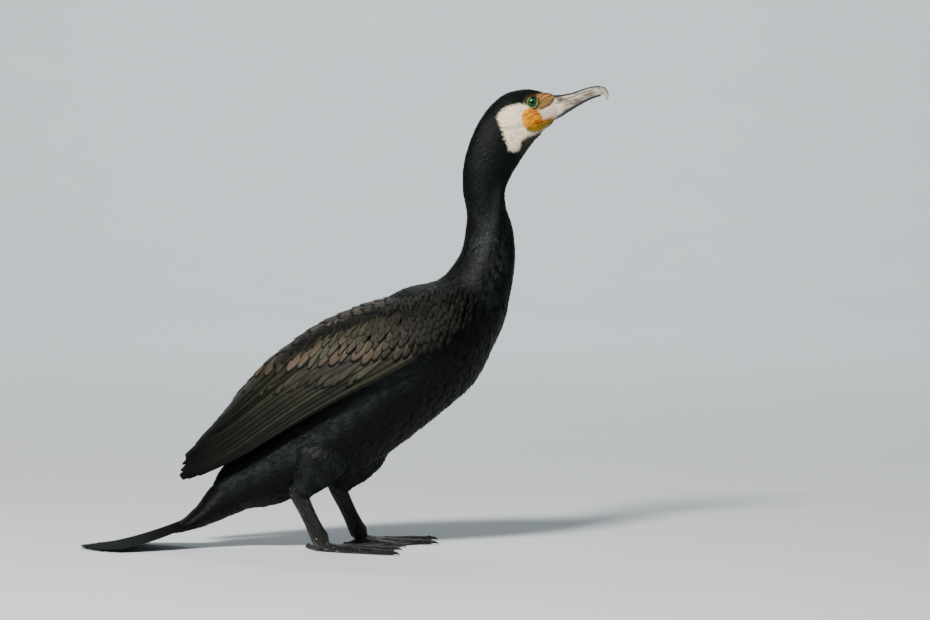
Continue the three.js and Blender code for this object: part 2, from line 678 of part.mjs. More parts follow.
// Each tail feather is a vane laid over the next one out, and the middle pair lies on top
function tailVane(order, side) {
  const share = order / (TAIL_PAIRS - 1);
  const turnDeg = side * THREE.MathUtils.lerp(TAIL_MIDDLE_DEG, TAIL_FAN_DEG, share);
  const length = TAIL_LENGTH * (1 - TAIL_ROUNDING * share ** TAIL_ROUNDING_POWER);
  const level = (TAIL_PAIRS - 1 - order) * TAIL_STEP;
  const place = (t, across, lift) => {
    const reach = t * length;
    const spot = tailPoint(reach, turnDeg, lift + level * (1 - TAIL_CLOSE * t));
    const heading = radians(turnDeg);
    spot.x += across * Math.sin(heading);
    spot.y += across * Math.cos(heading);
    return spot;
  };
  const laid = { root: TAIL_VANE_ROOT, tip: 1, height: () => 0, roll: -side * TAIL_ROLL };
  return vane(place, { ...TAIL_VANE, ...laid });
}

function tailParts() {
  const vanes = [];
  for (const side of [-1, 1]) for (let k = 0; k < TAIL_PAIRS; k++) vanes.push(tailVane(k, side));
  const base = bodyAlong(TAIL_BASE, FACETS.tailBase);
  const tail = union([base, ...vanes]).subtract(bodyRoom).trimByPlane([0, 0, 1], 0);
  return { tail: largest(tail) };
}

const solids = {
  torso: largest(before(neckBase, wholeBody)),
  neck_lower: largest(before(neckMiddle, beyond(neckBase, wholeBody))),
  neck_upper: largest(before(neckTop, beyond(neckMiddle, wholeBody))),
  ...headParts(),
  ...billParts(),
  eye_right: eyeBall(-1),
  eye_left: eyeBall(1),
  ...wingParts("right"),
  ...wingParts("left"),
  ...mantleParts(),
  ...tailParts(),
  ...legParts("right"),
  ...legParts("left"),
};

// Finishes: colour, roughness and metalness of each kind of surface
const FINISHES = {
  plumage: new THREE.MeshStandardMaterial({ color: 0x14181a, roughness: 0.45, metalness: 0 }),
  wing: new THREE.MeshStandardMaterial({ color: 0x4a4239, roughness: 0.5, metalness: 0 }),
  horn: new THREE.MeshStandardMaterial({ color: 0xa9a59c, roughness: 0.4, metalness: 0 }),
  pouch: new THREE.MeshStandardMaterial({ color: 0xe09a1f, roughness: 0.55, metalness: 0 }),
  eye: new THREE.MeshStandardMaterial({ color: 0x0f7a58, roughness: 0.1, metalness: 0 }),
  leg: new THREE.MeshStandardMaterial({ color: 0x23241f, roughness: 0.4, metalness: 0 }),
};

function finishOf(name) {
  if (name.startsWith("wing")) return FINISHES.wing;
  if (name.startsWith("bill")) return FINISHES.horn;
  if (name.startsWith("gular")) return FINISHES.pouch;
  if (name.startsWith("eye")) return FINISHES.eye;
  if (/^(shank|foot|claw)/.test(name)) return FINISHES.leg;
  return FINISHES.plumage;
}

function meshOf(name, body) {
  const data = body.getMesh();
  const geometry = new THREE.BufferGeometry();
  geometry.setAttribute("position", new THREE.BufferAttribute(data.vertProperties, 3));
  geometry.setIndex(new THREE.BufferAttribute(data.triVerts, 1));
  geometry.computeVertexNormals();
  const mesh = new THREE.Mesh(geometry, finishOf(name));
  mesh.name = name;
  return mesh;
}

const cormorant = new THREE.Group();
for (const [name, body] of Object.entries(solids)) cormorant.add(meshOf(name, body));

// The origin is the middle of the bounding box, at ground level
const box = new THREE.Box3().setFromObject(cormorant);
const middle = box.getCenter(new THREE.Vector3());
cormorant.position.set(-middle.x, -middle.y, -box.min.z);

export default cormorant;
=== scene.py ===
# %% [markdown]
# # A great cormorant, feather by feather
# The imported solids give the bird's true size and pose. This script dresses them: a smooth skin, a coat
# of small feathers, wings and tail of shafted vanes, a horn bill, bare yellow face skin and webbed feet.
# The frame is in metres, but the bird's own measures are written in millimetres.

import math

import bmesh
import bpy
import numpy as np
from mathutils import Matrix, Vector


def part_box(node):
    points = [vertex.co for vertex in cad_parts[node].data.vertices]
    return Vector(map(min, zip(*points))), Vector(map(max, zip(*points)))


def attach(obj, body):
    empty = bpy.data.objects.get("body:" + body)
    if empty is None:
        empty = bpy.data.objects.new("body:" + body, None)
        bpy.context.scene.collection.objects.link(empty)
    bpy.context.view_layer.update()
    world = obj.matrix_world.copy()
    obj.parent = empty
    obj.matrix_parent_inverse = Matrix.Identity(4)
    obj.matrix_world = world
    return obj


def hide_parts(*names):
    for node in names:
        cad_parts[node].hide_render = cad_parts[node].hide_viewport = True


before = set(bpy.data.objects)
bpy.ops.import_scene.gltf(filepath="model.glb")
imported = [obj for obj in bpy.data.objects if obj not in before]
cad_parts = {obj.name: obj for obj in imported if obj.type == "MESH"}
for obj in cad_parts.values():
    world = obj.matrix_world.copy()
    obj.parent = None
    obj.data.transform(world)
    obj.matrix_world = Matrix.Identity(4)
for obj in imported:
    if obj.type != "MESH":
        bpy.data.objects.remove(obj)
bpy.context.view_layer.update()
rng = np.random.default_rng(7)
MM = 0.001
SIDES = ((-1, "right"), (1, "left"))

# %% [markdown]
# The shapes below are worked out in the same millimetres as the solids. The right eye's centre is a
# point that both know, so its box gives the step from the drawing to the frame.

# %% Place the drawing in the frame
EYE = np.array([211.0, 0.0, 490.5])
eye_low, eye_high = (np.array(corner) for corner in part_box("eye_right"))
eye_middle = (eye_low + eye_high) / 2
EYE_Y = abs(eye_middle[1]) / MM
STEP = eye_middle / MM - np.array([EYE[0], -EYE_Y, EYE[2]])


def to_frame(points):
    """Drawing millimetres to metres in the frame."""
    return (np.asarray(points, dtype=float) + STEP) * MM


print("step from drawing to frame", STEP.round(2), "eye's y", round(EYE_Y, 2))

# %% [markdown]
# A body along a spine is given by a few stations: a centre, half the depth and half the width. A smooth
# curve runs through them, so any place on the body has a name: how far along it is, the angle round it
# and the lift off it. Feathers are laid in these names, and so they always follow the body.

# %% The spine


def cubic(b, c, m1, m2, w):
    """The smooth way from b to c, leaving at slope m1 and arriving at slope m2."""
    return b + m1 * w + (-3 * b + 3 * c - 2 * m1 - m2) * w**2 + (2 * b - 2 * c + m1 + m2) * w**3


class Spine:
    """A smooth body through stations of x, y, z, half the depth and half the width."""

    def __init__(self, stations, swell=((0, 0, 0), (1, 0, 0))):
        table = np.array(stations, dtype=float)
        self.swell = np.array(swell, dtype=float)
        self.points = table[:, :3]
        self.sizes = table[:, 3:]
        self.t_table = np.linspace(0, 1, 600)
        steps = np.linalg.norm(np.diff(self.centre(self.t_table), axis=0), axis=1)
        self.s_table = np.concatenate([[0], np.cumsum(steps)])
        self.length = self.s_table[-1]

    @staticmethod
    def _four(values, t):
        """The four stations round each t, and how far it is from the second to the third."""
        last = len(values) - 1
        place = np.clip(np.asarray(t, dtype=float), 0, 1) * last
        i = np.minimum(place.astype(int), last - 1)
        padded = np.vstack([2 * values[0] - values[1], values, 2 * values[-1] - values[-2]])
        return *(padded[i + k] for k in range(4)), (place - i)[:, None]

    def centre(self, t):
        a, b, c, d, w = self._four(self.points, t)
        gaps = ((a, b), (b, c), (c, d))
        da, db, dc = (np.linalg.norm(q - p, axis=1)[:, None] ** 0.5 for p, q in gaps)
        m1 = ((b - a) / da - (c - a) / (da + db) + (c - b) / db) * db
        m2 = ((c - b) / db - (d - b) / (db + dc) + (d - c) / dc) * db
        return cubic(b, c, m1, m2, w)

    def size(self, t):
        a, b, c, d, w = self._four(self.sizes, t)
        return cubic(b, c, 0.4 * (c - a), 0.4 * (d - b), w)

    def at(self, t, angle, lift=0.0):
        """Points at t along the spine, at an angle from the left side over the back, lifted off it."""
        t = np.atleast_1d(t)
        along = self.centre(np.minimum(1, t + 0.002)) - self.centre(np.maximum(0, t - 0.002))
        along /= np.linalg.norm(along, axis=1)[:, None]
        back = np.cross(along, (0.0, 1.0, 0.0))
        back /= np.linalg.norm(back, axis=1)[:, None]
        side = np.cross(back, along)
        size = np.maximum(0, self.size(t)) + np.asarray(lift)[..., None]
        sine = np.sin(angle)
        above, below = (np.interp(t, self.swell[:, 0], self.swell[:, i]) for i in (1, 2))
        deep = size[:, 0] * sine + np.where(sine > 0, above, below) * sine * np.abs(sine)
        wide = size[:, 1] * np.cos(angle)
        return self.centre(t) + back * deep[:, None] + side * wide[:, None]

    def t_at(self, s):
        return np.interp(s, self.s_table, self.t_table)

    def s_at(self, t):
        return np.interp(t, self.t_table, self.s_table)


BODY = Spine(
    [
        (-139, 0, 49, 0, 0), (-130, 0, 57, 17, 18), (-112, 0, 69, 29, 29), (-83, 0, 84, 39, 39),
        (-44, 0, 111, 52, 49), (6, 0, 151, 65, 57), (56, 0, 195, 70, 61), (105, 0, 233, 66, 60),
        (139, 0, 266, 47, 49), (155, 0, 296, 36, 35), (163, 0, 323, 30.5, 27), (164, 0, 349, 27, 22),
        (161, 0, 373, 22.5, 18.5), (158.5, 0, 395, 24, 18), (162, 0, 417, 27.5, 18.5),
        (172, 0, 441, 30.5, 19), (183, 0, 459.5, 31.5, 19.5), (196, 0, 473.5, 29.5, 19.5),
        (210, 0, 481, 24.5, 17.5), (226, 0, 485, 17.5, 13), (238, 0, 487.5, 11.5, 9), (246, 0, 489, 0, 0),
    ],
    # Share of the spine, and how much fuller the crown and the throat are there
    swell=[
        (0.71, 0, 0), (0.76, 0.5, 0), (0.81, 1.8, 0.8), (0.833, 2, 3),
        (0.857, 2, 4.2), (0.905, 1, 3.6), (0.952, 0.3, 1), (1, 0, 0),
    ],
)  # fmt: skip
print("body length along the spine", round(BODY.length), "mm")

# %% [markdown]
# A few helpers turn shapes into objects. A sphere's grid from bmesh becomes a bird, a thigh or half a
# bill when its corners are moved, and each object can carry a colour for each of its points.

# %% From bmesh and arrays to objects


def link_mesh(name, mesh, material=None, values=None):
    """An object for a mesh, with a material and with named values for its points."""
    for key, value in (values or {}).items():
        column = mesh.attributes.new(key, "FLOAT_VECTOR", "POINT")
        column.data.foreach_set("vector", value.astype(np.float32).ravel())
    if material:
        mesh.materials.append(material)
    made = bpy.data.objects.new(name, mesh)
    bpy.context.scene.collection.objects.link(made)
    return made


def bm_object(name, bm, material=None, values=None, rounded=True):
    """An object from a bmesh, shaded smooth with its faces outward unless it is to be left as it is."""
    if rounded:
        for face in bm.faces:
            face.smooth = True
        bmesh.ops.recalc_face_normals(bm, faces=bm.faces)
    mesh = bpy.data.meshes.new(name)
    bm.to_mesh(mesh)
    bm.free()
    return link_mesh(name, mesh, material, values)


def ball_grid(around, count):
    """A sphere's bmesh, with each corner's ring from pole to pole and its angle round the axis."""
    bm = bmesh.new()
    bmesh.ops.create_uvsphere(bm, u_segments=around, v_segments=count, radius=1)
    bm.verts.index_update()
    ball = np.array([v.co for v in bm.verts])
    ring = np.rint((1 - np.arccos(np.clip(ball[:, 2], -1, 1)) / math.pi) * count).astype(int)
    return bm, ring, np.arctan2(ball[:, 1], ball[:, 0]), (ring == 0) | (ring == count)


def move_corners(bm, points):
    for vert, place in zip(bm.verts, to_frame(points)):
        vert.co = place


def add_ball(bm, radius, place):
    """A small ball of a few dozen faces, in metres."""
    made = bmesh.ops.create_icosphere(bm, subdivisions=2, radius=radius)
    bmesh.ops.translate(bm, verts=made["verts"], vec=place)


# %% [markdown]
# Everything that grows in numbers is made the same way: one small template grid from bmesh, repeated by
# array arithmetic into one joined mesh. A template carries u along the feather and v across it, so each
# point of each feather can be asked where it lies on the body. That is far quicker than placing objects.

# %% Joined feathers
PATCH = 0.003  # each feather's share of the unwrap
WIDEST = 0.55  # where along a feather it is widest


def grid_template(along, across):
    """A grid's corners as (u from root to tip, v from -1 to 1) and its quads."""
    bm = bmesh.new()
    bmesh.ops.create_grid(bm, x_segments=along, y_segments=across, size=1)
    bm.verts.index_update()
    spots = np.array([((v.co.x + 1) / 2, v.co.y) for v in bm.verts])
    quads = np.array([[v.index for v in f.verts] for f in bm.faces])
    bm.free()
    return spots, quads


def mesh_object(name, points, quads, material, values, uv=None):
    """An object from arrays of drawing points and quads."""
    mesh = bpy.data.meshes.new(name)
    mesh.vertices.add(len(points))
    mesh.vertices.foreach_set("co", to_frame(points).astype(np.float32).ravel())
    mesh.loops.add(quads.size)
    mesh.loops.foreach_set("vertex_index", quads.astype(np.int32).ravel())
    mesh.polygons.add(len(quads))
    mesh.polygons.foreach_set("loop_start", np.arange(0, quads.size, 4, dtype=np.int32))
    mesh.update(calc_edges=True)
    mesh.polygons.foreach_set("use_smooth", np.ones(len(quads), dtype=bool))
    if uv is not None:
        layer = mesh.uv_layers.new(name="OFBake")
        layer.data.foreach_set("uv", uv[quads.ravel()].astype(np.float32).ravel())
    made = link_mesh(name, mesh, material, values)
    mesh.validate()
    return made


def feathers(name, template, surface, roots, material, unwrap, paint=None):
    """Joined feathers. surface(back, across, lift) turns millimetres back from each root, across it and
    off it into points; roots holds arrays of length, width, lift and curl; unwrap is each root's place
    on the skin's map; paint may colour points again where markings are finer than a feather."""
    spots, quads = template
    u, v = spots.T[:, None, :]
    root = {key: value[:, None] for key, value in roots.items()}
    n = len(unwrap)
    tapered = np.sqrt(np.maximum(0.0, 1 - ((u - WIDEST) / 0.458) ** 2))
    outline = np.where(u < WIDEST, 0.55 + 0.45 * np.sin(np.pi / 2 * u / WIDEST), tapered)
    arch = root["camber"] * (1 - v**2)
    lift = root["base"] + root["rise"] * u + root["flick"] * u**3 + arch + root["roll"] * v
    points = surface(u * root["length"], v * root["width"] * outline, lift).reshape(-1, 3)
    faces = (quads[None] + (np.arange(n) * len(spots))[:, None, None]).reshape(-1, 4)
    uv = np.stack([unwrap[:, :1] + (u - 0.5) * PATCH, unwrap[:, 1:] + v * PATCH / 2], axis=-1)
    quill = np.stack(np.broadcast_arrays(u, v, rng.random((n, 1))), axis=-1)
    tint = np.repeat(roots["tint"], len(spots), axis=0)
    values = {"quill": quill.reshape(-1, 3), "tint": paint(points, tint) if paint else tint}
    return mesh_object(name, points, faces, material, values, uv.reshape(-1, 2))


def ring_angles(count, row):
    """Even angles round a ring, staggered from row to row."""
    return (np.arange(count) + 0.5 * (row % 2)) / count * 2 * math.pi


def spine_surface(spine, t, angle, way, ends, least=0.0):
    """A surface function for roots at t and angle, with feathers up (1) or down (-1) the spine."""
    s = spine.s_at(t)[:, None]

    def surface(back, across, lift):
        place = spine.t_at(np.clip(s + way * back, *ends))
        radius = np.maximum(least, spine.size(place.ravel()).mean(axis=1).reshape(place.shape))
        return spine.at(place.ravel(), (angle[:, None] + across / radius).ravel(), lift.ravel())

    return surface


# %% [markdown]
# Colours are read as sRGB hex and turned into linear light by one function. Nodes are added by one small
# helper that also sets constants, so each material below stays a short recipe.

# %% Material helpers


def linear(hex_colour):
    parts = [int(hex_colour[i : i + 2], 16) / 255 for i in (1, 3, 5)]
    return tuple(p / 12.92 if p <= 0.04045 else ((p + 0.055) / 1.055) ** 2.4 for p in parts)


class Recipe:
    """A material's node tree with a short way to add and link nodes."""

    def __init__(self, name, **shader):
        self.material = bpy.data.materials.new(name)
        self.material.use_nodes = True
        self.tree = self.material.node_tree
        self.shader = self.tree.nodes["Principled BSDF"]
        for key, value in shader.items():
            self.shader.inputs[key.replace("_", " ")].default_value = value

    def feed(self, socket, value):
        """Links a socket to another, or sets a constant on it."""
        if isinstance(value, bpy.types.NodeSocket):
            self.tree.links.new(value, socket)
        else:
            socket.default_value = value

    def add(self, kind, inputs=None, **settings):
        node = self.tree.nodes.new(kind)
        for key, value in settings.items():
            setattr(node, key, value)
        for key, value in (inputs or {}).items():
            self.feed(node.inputs[key], value)
        return node

    def math(self, operation, a, b=0.0):
        return self.add("ShaderNodeMath", {0: a, 1: b}, operation=operation).outputs[0]

    def between(self, value, low, high):
        """0 at low, 1 at high, smooth between them."""
        sockets = {"Value": value, "From Min": low, "From Max": high}
        return self.add("ShaderNodeMapRange", sockets, interpolation_type="SMOOTHSTEP").outputs["Result"]

    def mix(self, factor, a, b, blend="MIX"):
        node = self.add("ShaderNodeMix", data_type="RGBA", blend_type=blend)
        for i, value in ((0, factor), (6, a), (7, b)):
            self.feed(node.inputs[i], (*value, 1) if isinstance(value, tuple) else value)
        return node.outputs[2]

    def times(self, colour, shares):
        """A colour darkened by a share for each of red, green and blue."""
        return self.mix(1.0, colour, shares, "MULTIPLY")

    def noise(self, scale, detail=3.0, stretch=None):
        where = self.object_space()
        if stretch:
            where = self.add("ShaderNodeMapping", {"Vector": where, "Scale": stretch}).outputs[0]
        sockets = {"Vector": where, "Scale": scale, "Detail": detail}
        return self.add("ShaderNodeTexNoise", sockets).outputs["Fac"]

    def object_space(self):
        return self.add("ShaderNodeTexCoord").outputs["Object"]

    def attribute(self, name):
        return self.add("ShaderNodeAttribute", attribute_name=name).outputs["Vector"]

    def split(self, vector):
        return self.add("ShaderNodeSeparateXYZ", {0: vector}).outputs

    def bump(self, height, distance, strength):
        sockets = {"Height": height, "Distance": distance, "Strength": strength}
        self.set("Normal", self.add("ShaderNodeBump", sockets).outputs[0])

    def set(self, key, socket):
        self.tree.links.new(socket, self.shader.inputs[key])


# %% [markdown]
# Body plumage is black with an oily blue-green gloss. Each feather reads its tint, a colour worked out
# once for its root, and its quill values: u to the tip, v across and a number of its own. The tip is a
# little darker, and fine barbs run out from the shaft as bump. A low index of refraction keeps the black
# black: at the usual 1.5 every feather seen edge on would shine grey.

# %% Feather materials


def feather_recipe(name, roughness, barbs, index, spread=0.62):
    """The recipe of a feather, its u, its distance from the shaft, its colour and its shaft."""
    r = Recipe(name, Roughness=roughness, IOR=index)
    u, v, own = r.split(r.attribute("quill"))
    across = r.math("ABSOLUTE", v)
    tint = r.attribute("tint")
    varied = r.mix(r.between(own, 0.0, 1.0), tint, r.times(tint, (spread,) * 3))
    slant = r.math("ADD", r.math("MULTIPLY", u, barbs), r.math("MULTIPLY", across, -0.22 * barbs))
    wave = r.math("SINE", r.math("MULTIPLY", slant, 6.283))
    shaft = r.between(across, 0.07, 0.0)
    r.bump(r.math("ADD", r.math("MULTIPLY", wave, 0.25), shaft), 0.00012, 0.5)
    return r, u, across, varied, shaft


# Glossy black body feathers, a little darker along the edge
coat, u, across, varied, shaft = feather_recipe("Glossy black contour feathers", 0.48, 16, 1.19, 0.82)
edge = coat.math("MULTIPLY", coat.between(across, 0.6, 1.0), 0.5)
coat.set("Base Color", coat.mix(edge, varied, coat.times(varied, (0.72, 0.7, 0.68))))

# Bronze wing feathers: clouded, with a dark shaft and a black rim that is wider at the tip
vanes, u, across, varied, shaft = feather_recipe("Bronze vanes with dark edges", 0.48, 40, 1.2)
side_edge = vanes.between(across, 0.62, 0.92)
rounded_tip = vanes.math("MULTIPLY", vanes.math("MULTIPLY", across, across), 0.1)
tip_edge = vanes.between(vanes.math("ADD", u, rounded_tip), 0.86, 0.97)
cloud = vanes.between(vanes.noise(180, 4), 0.35, 0.7)
clouded = vanes.mix(cloud, varied, vanes.times(varied, (0.72, 0.74, 0.76)))
shafted = vanes.mix(vanes.math("MULTIPLY", shaft, 0.55), clouded, linear("#14120f"))
rim = vanes.math("MAXIMUM", side_edge, tip_edge)
vanes.set("Base Color", vanes.mix(rim, shafted, linear("#080909")))

# Skin: dark under the coat, and with the face's own colours where it is bare
skin_look = Recipe("Dark skin under the coat", Roughness=0.55, IOR=1.25)
skin_tint = skin_look.attribute("tint")
grain = skin_look.between(skin_look.noise(900, 4), 0.3, 0.7)
skin_look.set("Base Color", skin_look.mix(grain, skin_tint, skin_look.times(skin_tint, (0.7, 0.68, 0.62))))
skin_look.bump(skin_look.noise(1400, 3), 0.0003, 0.6)

# %% [markdown]
# The markings are drawn once, as outlines in side view, and used by the skin and by every feather root.
# An outline is a short loop of named places, and its signed distance makes a soft, feathery border.

# %% Outlines of the face
PIXEL = 1.1  # millimetres
EYE_PIXEL = (531.8, 103)
BILL_X = 238  # where the face's feathers and skin end and the bill begins


def outline_mm(*pixels):
    """Places of the side view, counted from the eye in steps of 1.1 mm, as drawing x and z."""
    x, z = np.array(pixels, dtype=float).T
    return np.stack([EYE[0] + (x - EYE_PIXEL[0]) * PIXEL, EYE[2] - (z - EYE_PIXEL[1]) * PIXEL], axis=1)


CHEEK = outline_mm(
    (497, 117), (501, 111), (508, 106.5), (519, 104), (528, 106), (531, 112), (530, 120), (531, 127),
    (541, 128), (549, 123), (549.5, 124.6), (543, 130.8), (535, 134.6), (527, 137), (521, 141),
    (519, 149), (514, 151.5), (509, 150), (506, 141), (503, 133), (500, 126),
)  # fmt: skip
POUCH = outline_mm(
    (523.5, 109), (530, 109), (537, 110), (541, 112.5), (544, 118.5), (551, 117.5), (556, 118),
    (550, 124), (541, 130), (533, 132.5), (526, 130), (522, 124), (520.5, 116),
)  # fmt: skip
# Where the chin and throat below the white line are painted in shade
SHADED_THROAT = outline_mm(
    (526, 140), (536, 135.6), (544, 131.6), (550.5, 125.6), (558, 120), (560, 134),
    (540, 152), (524, 162), (517, 161), (520, 149),
)  # fmt: skip
LORE = outline_mm(
    (536, 94.5), (546, 92), (552, 93), (555.5, 97), (549, 105), (541, 110), (537, 109), (538, 103),
)  # fmt: skip
GAPE_BAND = outline_mm(
    (536, 109), (541, 109), (549, 106), (558, 98), (562, 104), (562, 118), (556, 119),
    (551, 118), (543, 120), (540, 114),
)  # fmt: skip
# Painted shadow: a soft grey band along the fold of the white cheek
CHEEK_FOLD_SHADOW = outline_mm((504, 128), (512, 127.5), (519, 126), (527, 125), (519, 126.2), (512, 127.8))
# Creases of the pouch: height above the line of the mouth, width, and how dark their painted shade is and
# how deep they sink
POUCH_CREASES = [
    (2.6, 0.5, 0.4), (-1.6, 0.6, 0.7), (-5.2, 0.45, 0.35),
    (-7.6, 0.5, 0.5), (-11.4, 1.1, 1.0), (-14.6, 0.55, 0.6),
]  # fmt: skip


def inside(outline, x, z):
    """Signed distance in millimetres from an outline, positive inside it."""
    here = np.stack([x, z], axis=1)[:, None, :]
    a = outline[None]
    b = np.roll(outline, -1, axis=0)[None]
    step = b - a
    w = np.clip(((here - a) * step).sum(2) / (step**2).sum(2), 0, 1)[..., None]
    far = np.linalg.norm(here - (a + step * w), axis=2).min(1)
    level = (a[..., 1] > here[..., 1]) != (b[..., 1] > here[..., 1])
    share = (here[..., 1] - a[..., 1]) / (step[..., 1] + 1e-12)
    crosses = level & (here[..., 0] < a[..., 0] + step[..., 0] * share)
    return np.where(crosses.sum(1) % 2 == 1, far, -far)


print("pouch creases", len(POUCH_CREASES))

# %% [markdown]
# Small curves do the shading: `soft` is a straight ramp over a border, `hill` a smooth bump, `smoothstep`
# a rise from 0 to 1, and `patches` a cloudy value made of a few waves. Each takes millimetres.

# %% Curves and clouds


def soft(distance, width):
    return np.clip(distance / width + 0.5, 0, 1)[:, None]


def hill(value, middle, width):
    return np.exp(-(((value - middle) / width) ** 2))


def smoothstep(x, low, high):
    w = np.clip((x - low) / (high - low), 0, 1)
    return w * w * (3 - 2 * w)


def blend(colour, other, share):
    return colour * (1 - share) + other * share


def patches(points, scale, seed):
    """A soft random value for each point, from a few waves of about that many millimetres."""
    waves = np.random.default_rng(seed)
    total = np.zeros(len(points))
    for _ in range(6):
        way = waves.normal(size=3)
        way /= np.linalg.norm(way) * scale / waves.uniform(4, 8)
        total += np.sin(points @ way + waves.uniform(0, 6.3))
    return total / 6 + 0.5


MOUTH_CORNER = (199, 472)
GAPE_RISE = math.radians(22)


def along_gape(x, z):
    """Distance along the line of the mouth from its corner, and height above that line."""
    dx, dz = x - MOUTH_CORNER[0], z - MOUTH_CORNER[1]
    sine, cosine = math.sin(GAPE_RISE), math.cos(GAPE_RISE)
    return dx * cosine + dz * sine, -dx * sine + dz * cosine


def crease_wander(run):
    """How far the creases stray up and down along their way."""
    return 0.5 * np.sin(run * 0.33) + 0.3 * np.sin(run * 0.9 + 1) + 0.15 * np.sin(run * 2.1)


# %% [markdown]
# The colours are darker and stronger than they will look, because the view lightens blacks and pales
# bright paint. Plumage comes first and the bare face is laid over it, one marking after another.

# %% Markings


def paint_pot(hex_colour):
    return np.array(linear(hex_colour))


BLACK = paint_pot("#070909")
TEAL = paint_pot("#0a1315")
SHEEN = paint_pot("#2f3936")
# Painted light: the grey-green of lit feathers along the flank and on the thighs
PAINTED_LIT_GREY = paint_pot("#262e2b")
WHITE = paint_pot("#ffecce")
FOLD_SHADOW_GREY = paint_pot("#8d8377")
YELLOW = paint_pot("#e89a00")
DEEP_YELLOW = paint_pot("#b86600")
MUSTARD = paint_pot("#927408")
ORANGE = paint_pot("#d98c5c")
TAN = paint_pot("#80673a")
OLIVE = paint_pot("#4a3a1e")
CHIN_SHADE_GREY = paint_pot("#474b3d")
PINK_HORN = paint_pot("#e2cdbf")


def plain_black(n):
    return np.tile(BLACK, (n, 1))


def streak_x(z):
    """Where the faint painted highlight runs down the side of the neck."""
    return np.interp(z, [328, 360, 405], [156, 164, 176])


def flank_line(x):
    """Height of the wing's lower edge over the flank."""
    return np.interp(x, [-140, -60, -12, 60, 98, 127], [88, 130, 156, 216, 236, 268])


def plumage(points):
    """Black feathers, blue on the neck, with painted sheen mottled at its root and a painted highlight down
    its side, and greyer along the flank with painted light, below a painted shadow under the wing.
    """
    x, _, z = points.T
    colour = blend(plain_black(len(points)), TEAL, 0.5 * soft(z - 400, 60))
    # Painted sheen: grey-green mottle at the root of the neck
    lower = soft(z - 285, 50) * (1 - soft(z - 375, 60))
    painted_sheen_mottle = soft(patches(points, 4.5, 3) - 0.52, 0.5)
    painted_sheen_mottle = painted_sheen_mottle * (0.35 + 0.65 * soft(patches(points, 24, 4) - 0.5, 0.3))
    colour = blend(colour, SHEEN, 0.4 * painted_sheen_mottle * lower)
    # Painted highlight: a faint light streak down the side of the neck
    painted_highlight_streak = hill(x, streak_x(z), 5)[:, None] * soft(z - 330, 30) * (1 - soft(z - 405, 20))
    colour = blend(colour, SHEEN, 0.5 * painted_highlight_streak)
    # Painted light and shadow: a band of lit grey along the flank, kept below the wing's lower edge so that
    # a painted shadow stays black under the wing
    flank = hill(z - flank_line(x), -23, 15)[:, None] * (1 - soft(x - 110, 60)) * soft(x + 160, 40)
    flank = flank * (0.45 + 0.55 * soft(patches(points, 9, 5) - 0.5, 0.5))
    return blend(colour, PAINTED_LIT_GREY, 0.8 * flank)


def pouch_yellow(points, run, drop):
    """Yellow that deepens forward and turns to mustard at the lowest fold."""
    deep = soft(patches(points, 7, 8) - 0.5, 0.5) * soft(run - 8, 8)
    return blend(blend(YELLOW, DEEP_YELLOW, deep), MUSTARD, soft(-12.2 - drop, 1.0))


def lore_orange(points, run, drop):
    """Orange skin before the eye, streaked along the bill and dark at the top."""
    ridge = drop - 5 - 0.12 * run + crease_wander(run) * 0.6
    bright = hill(ridge, 8.5, 1.5) + 0.7 * hill(ridge, 4.6, 0.9)
    bright = np.clip(bright + 0.5 * (patches(points, 2.6, 12) - 0.5), 0, 1)[:, None]
    furrows = 0.4 * hill(ridge, 6.6, 0.7) + 0.35 * hill(ridge, 2.2, 0.8)
    streaked = blend(TAN, ORANGE, bright) * (1 - furrows)[:, None]
    shaded = soft(points[:, 2] - 499.5 + 1.5 * (patches(points, 4, 13) - 0.5), 4) * 0.85
    return blend(streaked, OLIVE, shaded)


def markings(points):
    """The linear colour of the plumage or bare skin at drawing points."""
    x, _, z = points.T
    run, drop = along_gape(x, z)
    colour = plumage(points)
    cheek = soft(inside(CHEEK, x, z) + 2.6 * (patches(points, 2.4, 8) - 0.5), 3.0)
    colour = blend(colour, WHITE, cheek)
    # Painted shadow along the cheek's fold
    colour = blend(colour, FOLD_SHADOW_GREY, 0.45 * hill(inside(CHEEK_FOLD_SHADOW, x, z), 0, 2.0)[:, None] * cheek)
    # Painted shade: grey-green over the chin below the white line, down to its outline
    colour = blend(colour, CHIN_SHADE_GREY, 0.8 * soft(inside(SHADED_THROAT, x, z) + 0.8, 4) * soft(z - 440, 26))
    pouch = soft(inside(POUCH, x, z) + 0.8 * (patches(points, 2.5, 9) - 0.5), 2.4)
    colour = blend(colour, pouch_yellow(points, run, drop), pouch)
    # Painted shade: olive darkening along each crease of the pouch
    for level, width, strength in POUCH_CREASES:
        broken = 0.55 + 0.45 * np.sin(run * 0.5 + level * 1.7)[:, None]
        crease_shade = hill(drop + crease_wander(run), level, width)[:, None] * pouch * broken
        colour = blend(colour, OLIVE, strength * crease_shade)
    band = inside(GAPE_BAND, x, z)
    colour = blend(colour, PINK_HORN, soft(band, 3.0))
    lore = inside(LORE, x, z)
    patchy = soft(lore + 1.6 * (patches(points, 3, 16) - 0.5), 3.6)
    colour = blend(colour, lore_orange(points, run, drop), patchy)
    colour = blend(colour, TAN, 0.3 * hill(lore, 0, 1.1)[:, None] * soft(band - 0.3, 0.6))
    brow = hill(np.hypot(x - EYE[0], z - EYE[2]), 8.5, 1.6)[:, None] * soft(z - EYE[2] + 2, 6)
    return blend(colour, OLIVE, 0.6 * brow)


